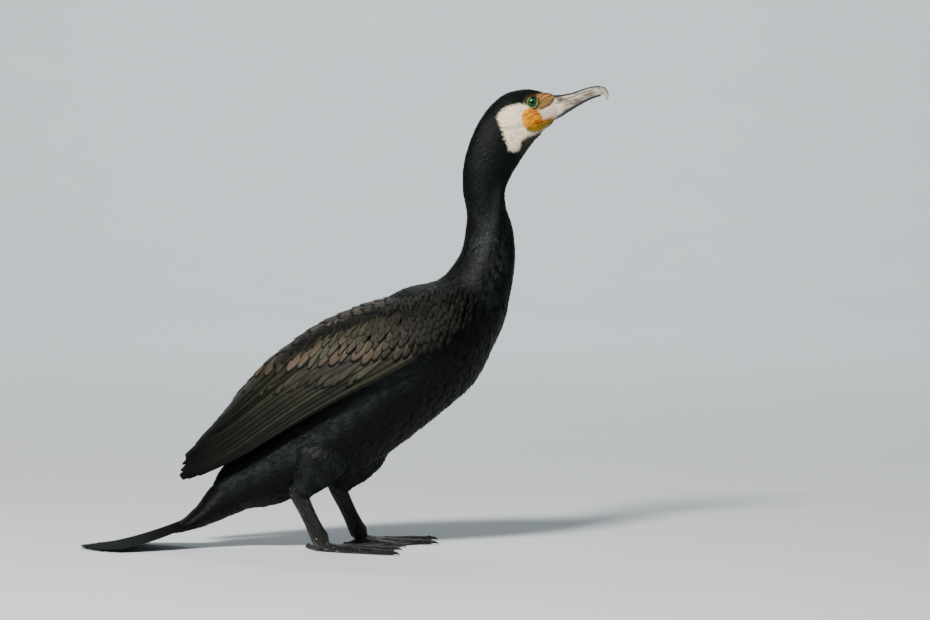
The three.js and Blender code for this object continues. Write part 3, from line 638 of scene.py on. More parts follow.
def bare(points):
    """How far each point is inside the bare skin of the face, in millimetres."""
    x, _, z = points.T
    ring = 8.2 - np.hypot(x - EYE[0], z - EYE[2])
    return np.maximum.reduce([*(inside(o, x, z) for o in (POUCH, LORE, GAPE_BAND)), ring, x - BILL_X])


print("cheek's white in linear light", WHITE.round(3))

# %% [markdown]
# The skin is one closed surface over a sphere's grid, as a sculptor would pull a ball into a bird. Its
# rings stand close together on the head, where the lids, the mouth line and the creases of the pouch are
# raised, and further apart on the body, which the coat hides.

# %% Skin
SKIN_DEPTH = 1.6
SKIN_AROUND = 180
RINGS = np.concatenate([np.linspace(0, 0.78, 110), np.linspace(0.7815, 1, 210)])
LID_RADIUS = 6.1


def relief(points):
    """Millimetres by which lids stand out and the socket, the creases and the mouth line sink in."""
    x, y, z = points.T
    from_eye = np.hypot(x - EYE[0], z - EYE[2])
    lift = 1.5 * hill(from_eye, LID_RADIUS, 1.1) - 3.2 * np.clip((4.9 - from_eye) / 2, 0, 1)
    run, drop = along_gape(x, z)
    pouch = np.clip(inside(POUCH, x, z) / 3, 0, 1)
    for level, width, strength in POUCH_CREASES:
        lift -= pouch * 0.7 * strength * hill(drop + crease_wander(run), level, width * 1.6)
    lift -= 1.1 * hill(drop, 2, 0.9) * np.clip((run + 1) / 4, 0, 1) * np.clip((44 - run) / 4, 0, 1)
    lore = np.clip(inside(LORE, x, z) / 2, 0, 1)
    lift += lore * 0.3 * np.sin(drop * 1.5 + 0.8 * np.sin(run * 0.4))
    return lift * np.clip(np.abs(y) / 5, 0, 1)


def build_skin():
    bm, ring, angle, poles = ball_grid(SKIN_AROUND, len(RINGS) - 1)
    t = RINGS[ring]
    flat = BODY.at(t, angle)
    flush = np.clip((bare(flat) + 1) / 2, 0, 1)
    lifted = BODY.at(t, angle, relief(flat) - SKIN_DEPTH + SKIN_DEPTH * flush)
    under = BODY.at(t, angle, -SKIN_DEPTH)
    under[poles] = BODY.centre(t[poles])
    points = np.where(poles[:, None], under, lifted)
    move_corners(bm, points)
    uv = bm.loops.layers.uv.new("OFBake")
    for face in bm.faces:
        turn = [angle[loop.vert.index] for loop in face.loops]
        wrap = max(turn) - min(turn) > math.pi
        for loop, a in zip(face.loops, turn):
            a = a + 2 * math.pi if wrap and a < 0 else a
            share = BODY.s_at(t[loop.vert.index]) / BODY.length
            loop[uv].uv = (share, (a + math.pi) / (2 * math.pi) * 0.9)
    return bm_object("skin", bm, skin_look.material, {"tint": markings(points)})


skin = build_skin()
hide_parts("torso", "neck_lower", "neck_upper", "head", "gular_pouch")
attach(skin, "root")
print("skin faces", len(skin.data.polygons))

# %% [markdown]
# The coat goes on in rows from the face down, like tiles but with their roots forward. A row's spacing
# and its feathers' size grow from the face to the flank. Bare skin gets none. Below the neck the tips
# stand looser, and on the head each point is painted for itself, so that borders are soft.

# %% Coat
COAT_LIMIT = 180000  # triangles in one piece
CHEST_Z = 290  # the coat is fluffy below this
HEAD_Z = 425  # and painted point by point above this
small = grid_template(4, 2)


def size_at(points):
    """Feather length and half width in millimetres by place on the body."""
    head = np.clip((points[:, 2] - 455) / 25, 0, 1)
    neck = np.clip((points[:, 2] - 285) / 120, 0, 1)
    return 15 - 6.8 * neck - 4.4 * head, 3.5 - 1.5 * neck - 0.85 * head


def coat_roots():
    """Roots in staggered rings, as places along the spine and angles round it."""
    rows = []
    s = BODY.length - 3
    while s > 6:
        t = BODY.t_at(np.array([s]))
        length, width = (float(q[0]) for q in size_at(BODY.centre(t)))
        count = max(6, int(2 * math.pi * BODY.size(t)[0].mean() / (width * 1.15)))
        rows.append((np.full(count, t[0]), ring_angles(count, len(rows)) - math.pi))
        s -= length * 0.33
    t, angle = (np.concatenate(column) for column in zip(*rows))
    return t + rng.normal(0, 0.0012, len(t)), angle + rng.normal(0, 0.02, len(t))


def paint_head(points, tint):
    """Follows the markings point by point on the head."""
    head = points[:, 2] > HEAD_Z
    tint[head] = markings(points[head])
    return tint


t, angle = coat_roots()
points = BODY.at(t, angle)
feathered = bare(points) < -0.4
t, angle, points = t[feathered], angle[feathered], points[feathered]
length, width = size_at(points)
n = len(t)
fluff = np.clip((CHEST_Z - points[:, 2]) / 100, 0, 1)
roots = {
    "length": length * rng.uniform(0.85, 1.15, n),
    "width": width * rng.uniform(0.85, 1.1, n),
    "base": np.full(n, -SKIN_DEPTH - 0.5),
    "rise": 1.5 + 0.4 * fluff + rng.normal(0, 1, n) * (0.12 + 0.2 * fluff),
    "flick": rng.normal(0, 0.3, n) * (0.35 + 1.5 * fluff),
    "camber": 0.1 * width,
    "roll": rng.normal(0, 0.12, n) * (0.35 + 0.65 * (points[:, 2] < CHEST_Z)),
    "tint": markings(points),
}
round_share = np.mod(angle + math.pi, 2 * math.pi) / (2 * math.pi)
unwrap = np.stack([BODY.s_at(t) / BODY.length, round_share * 0.9], axis=1)
piece_count = 1 + n * len(small[1]) * 2 // COAT_LIMIT
for i, some in enumerate(np.array_split(np.arange(n), piece_count)):
    surface = spine_surface(BODY, t[some], angle[some], -1, (0.5, BODY.length), 4.0)
    piece_roots = {key: value[some] for key, value in roots.items()}
    piece = feathers(f"coat_{i}", small, surface, piece_roots, coat.material, unwrap[some], paint_head)
    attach(piece, "root")
print("coat feathers", n, "in pieces", piece_count)

# %% [markdown]
# The folded wing is a shallow shell round the side of the body. A place on it has a distance along it
# from the hind end and a height up the side. Over its top the two wings meet, and further forward the
# mantle begins.

# %% Wing surface
WING = Spine(
    [
        (-181, 0, 83, 12, 20), (-164, 0, 91, 17, 27), (-140, 0, 103, 25, 37), (-112, 0, 117.5, 35, 47),
        (-78, 0, 137, 51, 56), (-41, 0, 157, 64, 64), (8, 0, 180, 74, 69), (54, 0, 199, 75, 71),
        (100, 0, 222, 67, 70), (136, 0, 247, 57, 62), (160, 0, 270, 43, 50),
    ]
)  # fmt: skip
SEAM_BEHIND, SEAM_AHEAD = 82, 64  # degrees up the side


def wing_points(side, t, height, lift):
    angle = np.arcsin(np.clip(height / WING.size(t)[:, 0], -0.7, 0.985))
    points = WING.at(t, angle, lift)
    points[:, 1] *= side
    return points


def seam(t):
    """Degrees up the side at which the wing ends, where the mantle begins or the two wings meet."""
    return SEAM_BEHIND + (SEAM_AHEAD - SEAM_BEHIND) * smoothstep(t, 0.36, 0.62)


def wing_top(t):
    return WING.size(np.atleast_1d(t))[:, 0] * np.sin(np.radians(seam(t)))


def low_edge(t):
    return -7 + 5 * t


def wing_place(*pixels):
    """Places of the side view as (distance along the wing, height up its side) in millimetres."""
    spots = outline_mm(*pixels)
    table = np.linspace(0, 1, 500)
    centre = WING.centre(table)[:, [0, 2]]
    along = np.gradient(centre, axis=0)
    along /= np.linalg.norm(along, axis=1)[:, None]
    away = spots[:, None, :] - centre[None]
    beside = np.abs((away * along).sum(2)) + 0.02 * np.linalg.norm(away, axis=2)
    best = beside.argmin(1)
    up = np.stack([-along[:, 1], along[:, 0]], axis=1)
    height = (away[np.arange(len(spots)), best] * up[best]).sum(1)
    return np.stack([WING.s_at(table[best]), height], axis=1)


def wing_surface(side, root, tip):
    """A surface function for feathers that run from root to tip, both places on the wing."""
    length = np.linalg.norm(tip - root, axis=1)[:, None]
    way = (tip - root) / length

    def surface(back, across, lift):
        share = back / length
        s = root[:, :1] + (tip - root)[:, :1] * share - across * way[:, 1:]
        level = root[:, 1:] + (tip - root)[:, 1:] * share + across * -way[:, :1]
        place = WING.t_at(np.clip(s, 0, WING.length))
        return wing_points(side, place.ravel(), level.ravel(), lift.ravel())

    return surface


print("wing length", round(WING.length), "mm")

# %% [markdown]
# Each vane of a wing has its roots' values set by one function. A bed of dark skin lies under them,
# closed by an inner sheet. The long flight feathers are nested so that each covers the next, and they
# darken towards their ends.

# %% Flight feathers and the bed under them
WING_BRONZE = paint_pot("#504738")
WING_PINK = paint_pot("#5c4c42")
WING_OLIVE = paint_pot("#484839")
FLIGHT_GREY = paint_pot("#25251f")
FLIGHT_COUNT = 14
FLIGHT_ROOTS = wing_place((272, 364), (436, 338))
FLIGHT_TIPS = wing_place(
    (218, 420), (208, 431), (198, 442), (190, 452), (184, 461),
    (180, 470), (178, 479), (190, 476), (201, 473), (211, 467),
)  # fmt: skip
FLIGHT_OVERLAP = 16
scale, broad, long_vane = grid_template(6, 4), grid_template(10, 6), grid_template(36, 4)


def wing_tint(n, first, second, seed):
    return blend(first, second, np.random.default_rng(seed).uniform(0, 1, n)[:, None])


def vane_roots(n, length, width, base, rise, camber, roll, tint, spread=0.05):
    """Values for n vanes, each a number or an array; length and width stray by spread."""
    return {
        "length": length * rng.normal(1, spread, n),
        "width": width * rng.normal(1, spread, n),
        "base": base * np.ones(n),
        "rise": rise * np.ones(n) + rng.normal(0, 0.06, n),
        "flick": np.zeros(n),
        "camber": camber * np.ones(n),
        "roll": roll * np.ones(n),
        "tint": tint,
    }


def wing_vanes(name, template, side, root, tip, values, level, paint=None):
    """Joined vanes that run from root to tip on the wing, unwrapped at a level on the map."""
    unwrap = np.stack([0.1 + 0.8 * root[:, 0] / WING.length, level], axis=1)
    return feathers(name, template, wing_surface(side, root, tip), values, vanes.material, unwrap, paint)


def shell(name, outer, inner, quads):
    """A dark closed bed of an outer and an inner sheet."""
    points = np.concatenate([outer, inner])
    faces = np.concatenate([quads, quads[:, ::-1] + len(outer)])
    return mesh_object(name, points, faces, skin_look.material, {"tint": plain_black(len(points))})


def wing_bed(side, label):
    """A thin dark shell under the vanes, in place of the arm's flesh."""
    spots, quads = grid_template(60, 24)
    t = 0.1 + 0.86 * spots[:, 0]
    low = low_edge(t)
    round_off = np.sqrt(np.clip((1 - spots[:, 0]) / 0.12, 0.02, 1))
    top = np.minimum(wing_top(t), WING.size(t)[:, 0] * 0.93)
    height = (top + low + 3) / 2 + spots[:, 1] * (top - low - 3) / 2 * round_off
    outer = wing_points(side, t, height, -0.9)
    return shell(f"wing_bed_{label}", outer, wing_points(side, t, height, -(2.5 + 9 * spots[:, 0])), quads)


def darker_behind(points, tint):
    return tint * (0.2 + 0.8 * smoothstep(points[:, 0], -170, -30))[:, None]


def flight_feathers(side, label):
    share = np.linspace(0, 1, FLIGHT_COUNT)
    share[1:-1] += rng.normal(0, 0.014, FLIGHT_COUNT - 2)
    knots = np.linspace(0, 1, len(FLIGHT_TIPS))
    root = FLIGHT_ROOTS[0] + (FLIGHT_ROOTS[1] - FLIGHT_ROOTS[0]) * share[:, None]
    tip = np.stack([np.interp(share, knots, FLIGHT_TIPS[:, i]) for i in (0, 1)], axis=1)
    reach = np.linalg.norm(tip - root, axis=1)
    way = (root - tip) / reach[:, None]
    short = rng.uniform(0, 3.5, FLIGHT_COUNT)
    tip = tip + way * short[:, None]
    root = root + way * FLIGHT_OVERLAP
    length = reach + FLIGHT_OVERLAP - short
    tint = wing_tint(FLIGHT_COUNT, FLIGHT_GREY * 0.8, WING_OLIVE * 0.65, 40)
    width, base = 7.6 - 1.2 * share, -0.2 + 1.2 * (1 - share)
    values = vane_roots(FLIGHT_COUNT, length, width, base, 1.0, 0.25, -0.7, tint, spread=0.0)
    level = 0.97 + 0.0002 * root[:, 1]
    return wing_vanes(f"flight_feathers_{label}", long_vane, side, root, tip, values, level, darker_behind)


print("flight feathers a side", FLIGHT_COUNT)

# %% [markdown]
# Coverts lie over the roots of the flight feathers in tiers, each a row of scales with pale centres and
# black edges. The rows are counted upward from the lowest scalloped one. Towards the wrist the scales
# turn small, grey and dark, and a shaded groove parts the highest ones from the mantle.

# %% Coverts
LAST_ROW = wing_place((258, 376), (418, 349))
COVERT_LEAN = math.radians(24)
COVERT_TIERS = [
    # name, offset of the tips up from the lowest scalloped row, spacing, half width, length, stack, tints
    ("greater_coverts", -16.0, 8.6, 5.0, 56, 2.0, WING_OLIVE, FLIGHT_GREY),
    ("median_coverts_low", 0.0, 11.5, 6.6, 30, 3.2, WING_PINK, WING_BRONZE),
    ("median_coverts_high", 10.0, 9.8, 5.7, 26, 3.6, WING_BRONZE, WING_OLIVE),
    ("lesser_coverts_1", 18.5, 8.8, 5.1, 22, 3.9, WING_BRONZE, WING_OLIVE),
    ("lesser_coverts_2", 26.0, 7.8, 4.6, 19, 4.1, WING_BRONZE, WING_OLIVE),
    ("lesser_coverts_3", 32.5, 7.0, 4.1, 17, 4.1, WING_OLIVE, WING_BRONZE),
    ("lesser_coverts_4", 38.5, 6.4, 3.8, 15, 4.0, WING_OLIVE, WING_BRONZE),
    ("lesser_coverts_5", 44.0, 6.0, 3.6, 14, 3.9, WING_OLIVE, WING_BRONZE),
    ("lesser_coverts_6", 49.5, 6.0, 3.6, 14, 3.8, FLIGHT_GREY, WING_OLIVE),
    ("lesser_coverts_7", 55.0, 6.0, 3.6, 14, 3.7, FLIGHT_GREY, WING_OLIVE),
]


def covert_row(side, label, tier, row):
    name, offset, spacing, half, length, stack, first, second = tier
    greater = offset < 0
    start, end = LAST_ROW
    reach = np.linalg.norm(end - start)
    way = (end - start) / reach
    up = np.array([-way[1], way[0]])
    count = int((reach + 130) / spacing)
    q = (np.arange(count) + 0.5 * (row % 2)) * spacing - 20 + rng.normal(0, 0.05 * spacing, count)
    above = offset * (1 + 0.9 * q / reach) if greater else offset + 0 * q
    tip = start + up * above[:, None] + q[:, None] * way
    tip = tip + up * rng.normal(0, 0.045 * length, count)[:, None]
    t = WING.t_at(np.clip(tip[:, 0], 0, WING.length))
    on_wing = (tip[:, 0] > 20) & (tip[:, 0] < WING.length * 0.84)
    fits = on_wing & (tip[:, 1] > low_edge(t) + half * 0.4) & (tip[:, 1] < wing_top(t) + 1)
    tip, t = tip[fits], t[fits]
    n = len(tip)
    shrink = 1 - 0.4 * smoothstep(tip[:, 0] / WING.length, 0.6, 0.9)
    lengths = length * shrink * rng.normal(1, 0.05, n)
    lean = COVERT_LEAN * (0.75 if greater else 1.0) + rng.normal(0, 0.07, n)
    root = tip + lengths[:, None] * np.stack([np.cos(lean), np.sin(lean)], axis=1)
    # Painted shadow: coverts in the groove under the wing's top are darkened by dim, which also darkens
    # towards the wrist and the hind end, the greater coverts and the higher rows
    groove = smoothstep(tip[:, 1] - wing_top(t), -20, -8) * smoothstep(t, 0.4, 0.55)
    dim = (1 - 0.9 * groove) * (1 - 0.8 * smoothstep(t, 0.56, 0.86)) * (0.8 if greater else 1.0)
    dim *= (1 - 0.15 * smoothstep(offset, 16, 56)) * (1 - 0.15 * smoothstep(0.5 - t, 0.0, 0.25))
    grey = 0.7 * smoothstep(t, 0.6, 0.8)[:, None]
    tint = blend(wing_tint(n, first, second, 20 + row), FLIGHT_GREY * 2.2, grey) * dim[:, None]
    width = half * (1.0 if offset < 10 else 1.12)
    base = stack - 2.9 - 1.6 * groove
    roll = -0.6 if greater else -0.25
    values = vane_roots(n, lengths, width, base, 2.7, 0.1 * half, roll, tint, spread=0.0)
    values["width"] *= rng.normal(1, 0.06, n)
    return wing_vanes(f"{name}_{label}", broad, side, root, tip, values, 0.93 + 0.0006 * tip[:, 1])


def wrist_scales(side, label):
    """Small dark scales over the bend of the wing, larger away from it."""
    tips = []
    for row, s in enumerate(np.arange(0.74 * WING.length, 0.985 * WING.length, 5.6)):
        t = WING.t_at(np.array([s]))
        high = np.arange(float(low_edge(t)[0]) + 3, float(wing_top(t)[0]), 6.2) + 3.1 * (row % 2)
        tips.append(np.stack([np.full(len(high), s), high], axis=1))
    tip = np.concatenate(tips)
    tip = tip + rng.normal(0, 1.0, tip.shape)
    tip = tip[rng.random(len(tip)) < smoothstep(tip[:, 0] / WING.length, 0.74, 0.82) + 0.25]
    share = tip[:, 0] / WING.length
    n = len(tip)
    bend = smoothstep(share, 0.84, 0.98)
    shrink = 1 - 0.35 * smoothstep(share, 0.8, 0.98)
    length = 13 * shrink
    root = tip + length[:, None] * np.array([math.cos(COVERT_LEAN), math.sin(COVERT_LEAN)])
    tint = wing_tint(n, FLIGHT_GREY * 1.8, FLIGHT_GREY, 50) * (0.55 - 0.4 * bend)[:, None]
    values = vane_roots(n, length, 4.6 * shrink, 0.4 - 1.6 * bend, 2.6, 0.3, -0.1, tint)
    values["length"] = length
    return wing_vanes(f"wrist_scales_{label}", scale, side, root, tip, values, 0.93 + 0.0006 * tip[:, 1])


for side, label in SIDES:
    made = [wing_bed(side, label), flight_feathers(side, label), wrist_scales(side, label)]
    made += [covert_row(side, label, tier, row) for row, tier in enumerate(COVERT_TIERS)]
    for piece in made:
        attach(piece, "root")
    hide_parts(f"wing_{label}")
print("wing pieces", len(made), "a side")

# %% [markdown]
# Scapulars and mantle close the back between the wings. They are the same vanes, laid on the top of the
# same shell, and their lowest ones hang a little over the groove above the coverts. Some are rosy, most
# of all in a patch over the shoulder.

# %% Mantle
ON_TOP = math.pi / 2


def mantle():
    rows = []
    tip = 0.30
    while tip < 0.97:
        half = 6.5 - 2.6 * smoothstep(tip, 0.6, 1.0)
        length = 34 - 16 * smoothstep(tip, 0.5, 1.0)
        edge = math.radians(90 - float(seam(tip))) + 0.02
        deep = float(WING.size(np.array([tip]))[0, 0])
        count = max(1, int(round(2 * edge * deep / (half * 1.45))))
        turn = ((np.arange(count) + 0.5) / count - 0.5) * 2 * edge
        turn = turn + (0.2 * half / deep) * (-1) ** len(rows)
        root = WING.t_at(WING.s_at(tip) + length)
        rows.append((np.full(count, root), turn, np.full(count, half), np.full(count, length)))
        tip += 0.034 - 0.014 * smoothstep(tip, 0.5, 1.0)
    t, turn, half, length = (np.concatenate(column) for column in zip(*rows))
    n = len(t)
    t = t + rng.normal(0, 0.002, n)
    aside = np.clip(np.abs(turn) / math.radians(SEAM_AHEAD), 0, 1)[:, None]
    rosy = (np.random.default_rng(61).random(n) < 0.15)[:, None] * smoothstep(aside, 0.2, 0.3)
    patch = smoothstep(t, 0.6, 0.66) * (1 - smoothstep(t, 0.76, 0.82))
    rosy = np.maximum(rosy, smoothstep(aside, 0.45, 0.6) * (patch * rng.uniform(0.5, 1, n))[:, None])
    tint = blend(wing_tint(n, FLIGHT_GREY, WING_BRONZE * 0.6, 60), WING_PINK, rosy)
    tint = tint * (1 - 0.65 * smoothstep(t, 0.74, 0.9))[:, None]
    values = vane_roots(n, length, half, -0.8, 2.6, 0.5, 0.0, tint)
    unwrap = np.stack([0.1 + 0.8 * np.minimum(1, t), 0.9 + 0.01 * turn], axis=1)
    surface = spine_surface(WING, t, ON_TOP + turn, -1, (0, WING.length))
    return feathers("mantle_feathers", broad, surface, values, vanes.material, unwrap)


def mantle_bed():
    spots, quads = grid_template(40, 12)
    t = 0.34 + 0.64 * spots[:, 0]
    angle = ON_TOP + spots[:, 1] * np.radians(90 - seam(t))
    return shell("mantle_bed", WING.at(t, angle, -0.6), WING.at(t, angle, -12), quads)


bed = mantle_bed()
back = mantle()
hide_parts("mantle")
for piece in (bed, back):
    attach(piece, "root")
print("mantle faces", len(back.data.polygons))

# %% [markdown]
# Thighs are short bodies of their own with the flank's fluffy feathers. A tube over a spine is their
# skin, and rings of roots round it carry the coat. The left leg stands a stride ahead.

# %% Thighs
STRIDE = 40
THIGH_STATIONS = [
    (-8, 22, 140, 0, 0), (-14, 26, 126, 29, 17), (-22, 34, 104, 32, 20), (-31, 37, 84, 24, 16),
    (-38, 37, 70, 14, 11), (-42, 37, 61, 8.5, 7), (-44, 37, 57, 0, 0),
]  # fmt: skip


def tube(name, spine, around, count, material, tint, lift=0.0):
    """A closed tube over a sphere's grid. tint gives colours for the tube's points and angles."""
    bm, ring, angle, poles = ball_grid(around, count)
    t = ring / count
    points = np.where(poles[:, None], spine.centre(t), spine.at(t, angle, lift))
    move_corners(bm, points)
    return bm_object(name, bm, material, {"tint": tint(points, angle)})


def ring_roots(spine, start, end, step, spacing, least, stray):
    """Roots in staggered rings round a spine, as places along it and angles."""
    rows = []
    s = start
    while s < spine.length - end:
        t = spine.t_at(np.array([s]))
        count = max(least, int(2 * math.pi * float(spine.size(t).mean()) / spacing))
        rows.append((np.full(count, t[0]), ring_angles(count, len(rows))))
        s += step
    t, angle = (np.concatenate(column) for column in zip(*rows))
    return t, angle + rng.normal(0, stray, len(t))


def thigh(side, label):
    forward = STRIDE if side > 0 else 0
    spine = Spine([(x + forward, side * y, *rest) for x, y, *rest in THIGH_STATIONS])
    flesh = tube(f"thigh_skin_{label}", spine, 28, 24, skin_look.material, lambda p, _: markings(p), -1.5)
    t, angle = ring_roots(spine, 12.0, 4, 3.2, 4.6, 5, 0.04)
    n = len(t)
    points = spine.at(t, angle)
    # Painted light: patches of lit grey on the thigh's feathers, weaker towards the thigh's top
    lit_grey_share = 0.3 + 0.7 * smoothstep(patches(points, 16, 15), 0.3, 0.8)
    lit_grey_share = lit_grey_share * (0.6 + 0.4 * smoothstep(112 - points[:, 2], 0, 16))
    tint = BLACK + 0.45 * PAINTED_LIT_GREY * lit_grey_share[:, None]
    values = vane_roots(n, 12, 3.0, -2.0, 2.0, 0.3, 0.0, tint, spread=0.18)
    values["flick"] = rng.normal(0.2, 0.3, n)
    values["roll"] = rng.normal(0, 0.15, n)
    unwrap = np.stack([0.02 + 0.05 * t, 0.05 + 0.1 * angle / 6.3], axis=1)
    surface = spine_surface(spine, t, angle, 1, (0, spine.length - 0.5), 3.0)
    coat_piece = feathers(f"thigh_coat_{label}", small, surface, values, coat.material, unwrap)
    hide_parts(f"thigh_{label}")
    for piece in (flesh, coat_piece):
        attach(piece, "root")
    return n


for side, label in SIDES:
    print("thigh feathers", label, thigh(side, label))

# %% [markdown]
# The tail is a fan of stiff vanes that leaves the rump and sags to the floor, the middle pair on top and
# longest. Small coverts over a tube of flesh cover its root.

# %% Tail
TAIL_ROOT = (-118.0, 1.0, 50.0)
TAIL_LENGTH = 168.0
TAIL_PAIRS = 7
TAIL_FAN = math.radians(21)
TAIL_PART = math.radians(1.3)
TAIL_BASE = Spine(
    [
        (-96, 0, 74, 0, 0), (-110, 0, 66, 22, 20), (-132, 0, 51, 19, 22),
        (-152, 0, 36, 12, 23), (-174, 0, 24, 6, 22), (-196, 0, 15, 0, 0),
    ]
)  # fmt: skip
# Stiff black tail feathers with fine barbs and a grey shaft
tail_look, u, across, varied, shaft = feather_recipe("Stiff black tail vanes", 0.6, 90, 1.12)
shaft_share = tail_look.math("MULTIPLY", shaft, 0.5)
tail_look.set("Base Color", tail_look.mix(shaft_share, varied, linear("#1d1f1f")))


def tail_points(reach, turn, across, lift):
    fall = TAIL_ROOT[2] * (1 - np.clip(reach / TAIL_LENGTH, 0, 1)) ** 1.7
    x = TAIL_ROOT[0] - reach * np.cos(turn) + across * np.sin(turn)
    y = TAIL_ROOT[1] * np.sign(turn) + reach * np.sin(turn) + across * np.cos(turn)
    return np.stack([x, y, fall + lift], axis=-1)


def tail_fan():
    order = np.tile(np.arange(TAIL_PAIRS), 2)
    side = np.repeat([-1.0, 1.0], TAIL_PAIRS)
    share = order / (TAIL_PAIRS - 1)
    turn = side * (TAIL_PART + (TAIL_FAN - TAIL_PART) * share)
    length = TAIL_LENGTH * (1 - 0.2 * share**1.6)
    level = (TAIL_PAIRS - 1 - order) * 0.95 + 1.0
    n = len(order)

    def surface(back, across, lift):
        rise = level[:, None] * (1 - 0.55 * (back / length[:, None])) + lift
        spread = turn[:, None] * np.ones_like(back)
        return tail_points(0.04 * length[:, None] + back * 0.96, spread, across, rise)

    values = vane_roots(n, length, 8.2, 0.0, -0.3, 0.35, -side * 0.45, plain_black(n) * 0.8, spread=0.0)
    unwrap = np.stack([0.01 + 0.003 * np.arange(n), 0.97 + 0 * turn], axis=1)
    return feathers("tail_feathers", long_vane, surface, values, tail_look.material, unwrap)


def tail_base():
    flesh = tube("tail_base", TAIL_BASE, 32, 24, skin_look.material, lambda p, _: plain_black(len(p)), -1.4)
    t, angle = ring_roots(TAIL_BASE, 8.0, 8, 4.5, 6, 6, 0.03)
    n = len(t)
    values = vane_roots(n, 22, 5.0, -2.0, 2.2, 0.4, 0.0, plain_black(n), spread=0.1)
    unwrap = np.stack([0.02 + 0.05 * t, 0.2 + 0.1 * angle / 6.3], axis=1)
    surface = spine_surface(TAIL_BASE, t, angle, 1, (0, TAIL_BASE.length - 0.5), 6.0)
    return flesh, feathers("tail_coverts", small, surface, values, coat.material, unwrap)


rectrices = tail_fan()
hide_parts("tail")
for piece in (rectrices, *tail_base()):
    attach(piece, "root")
print("tail feathers", 2 * TAIL_PAIRS)

# %% [markdown]
# The bill is horn: pale ivory-grey, with a dark ridge along the top, a groove that runs from the nostril
# to the nail, and a hook. Each half is a ball pulled over the same spine and cut flat at the line of the
# mouth. The shares of dark and of pink are worked out for each point and mixed in by the material. The
# dark share also holds painted shade in the groove, the nostril, the mouth line and under the lower
# mandible, and on the nail the pink share is a painted highlight.

# %% Bill
horn = Recipe("Ivory-grey horn", Roughness=0.34)
streaks = horn.noise(160, 5, (0.35, 1.6, 1.6))
speckle = horn.noise(900, 3)
dark_and_shade_share, pink_and_highlight_share, _ = horn.split(horn.attribute("tint"))
base = horn.mix(horn.between(streaks, 0.38, 0.62), linear("#b5ad9a"), linear("#6b6152"))
base = horn.mix(horn.between(speckle, 0.55, 0.75), base, linear("#544e45"))
# Dark horn along the ridge, with painted shade in the groove, the nostril, the mouth line and under the
# lower mandible
base = horn.mix(horn.between(dark_and_shade_share, 0.2, 0.9), base, linear("#191b1c"))
# Pink horn at the bill's base, and a painted highlight on the nail
base = horn.mix(horn.between(pink_and_highlight_share, 0.0, 1.0), base, linear("#e2cdbf"))
horn.set("Base Color", base)
horn.bump(horn.math("ADD", streaks, horn.math("MULTIPLY", speckle, 0.4)), 0.0004, 0.5)

BILL = Spine(
    [
        (224, 0, 483, 0, 0), (229, 0, 484, 13, 8.2), (238, 0, 486.6, 13, 8.8), (248, 0, 490, 10.4, 7.4),
        (259, 0, 494.4, 8.2, 5.9), (270, 0, 499.2, 7.2, 5.1), (279, 0, 502.2, 6.5, 4.9),
        (286, 0, 503.2, 5.7, 4.2), (289.5, 0, 503.2, 4.2, 3), (292, 0, 503, 0, 0),
    ]
)  # fmt: skip
HOOK = Spine(
    [
        (280, 0, 504.5, 0, 0), (284, 0, 505, 3.6, 3.6), (289, 0, 503.6, 4, 3.4),
        (292.4, 0, 499.5, 2.7, 2.3), (293, 0, 496, 1.6, 1.4), (292.4, 0, 492.6, 0, 0),
    ]
)  # fmt: skip
BILL_AROUND, BILL_ALONG = 96, 150
MOUTH_Z = 488.6  # height of the mouth line where the bill begins
MOUTH_SLOPE = math.tan(math.radians(13))
MOUTH_GAP = 0.12
GROOVE_HEIGHT = 0.42
GROOVE_END_X = 284
NOSTRIL_X = 243
LOWER_TIP_X = 286.5


def bill_half(name, upper):
    """One mandible: the part of the bill above or below the mouth line, closed by a flat inner face."""
    bm, ring, angle, poles = ball_grid(BILL_AROUND, BILL_ALONG)
    t = 0.08 + 0.92 * ring / BILL_ALONG
    points = BILL.at(t, angle)
    points[poles] = BILL.centre(t[poles])
    x, height = points[:, 0].copy(), np.sin(angle)
    groove = hill(height, GROOVE_HEIGHT, 0.12) * np.clip((x - BILL_X) / 6, 0, 1)
    groove *= np.clip((GROOVE_END_X - x) / 6, 0, 1)
    nostril = hill(x, NOSTRIL_X, 2.2) * hill(height, GROOVE_HEIGHT, 0.14)
    points[:, 1] *= np.where(poles, 1, 1 - (0.1 * groove + 0.12 * nostril))
    mouth = MOUTH_Z + (x - BILL_X) * MOUTH_SLOPE
    above_mouth = points[:, 2] - mouth
    if upper:
        cut = np.maximum(points[:, 2], mouth + MOUTH_GAP)
        # The dark ridge along the top is the horn's own; the groove and the nostril are darkened as painted
        # shade
        dark = np.maximum.reduce([smoothstep(height, 0.66, 0.86), 0.8 * groove, 0.7 * nostril])
    else:
        cut = np.minimum(points[:, 2], mouth - MOUTH_GAP)
        # Painted shade on the underside of the lower mandible
        dark = smoothstep(-height, 0.5, 0.75)
        points[:, 0] = np.minimum(x, LOWER_TIP_X)
    points[:, 1] *= np.where(cut != points[:, 2], 0.86, 1.0)
    points[:, 2] = cut
    # Painted shade along the line of the mouth, between the two halves
    dark = np.maximum(dark, 0.7 * hill(above_mouth, 0, 0.75) * np.clip((x - 242) / 8, 0, 1))
    pink = smoothstep(251 - x, 0, 12) * smoothstep(0.35 - height, 0, 0.3)
    pink = pink * (1 - 0.85 * smoothstep(-height, 0.6, 0.85))
    move_corners(bm, points)
    return bm_object(name, bm, horn.material, {"tint": np.stack([dark, pink, 0 * dark], axis=1)})


def nail_tint(points, angle):
    """Dark along the outer bend, and pale inside it as a painted highlight."""
    dark = smoothstep(np.sin(angle), 0.5, 0.9)
    # The second share is the nail's painted highlight
    return np.stack([dark, 0.45 * (1 - dark), 0 * dark], axis=1)


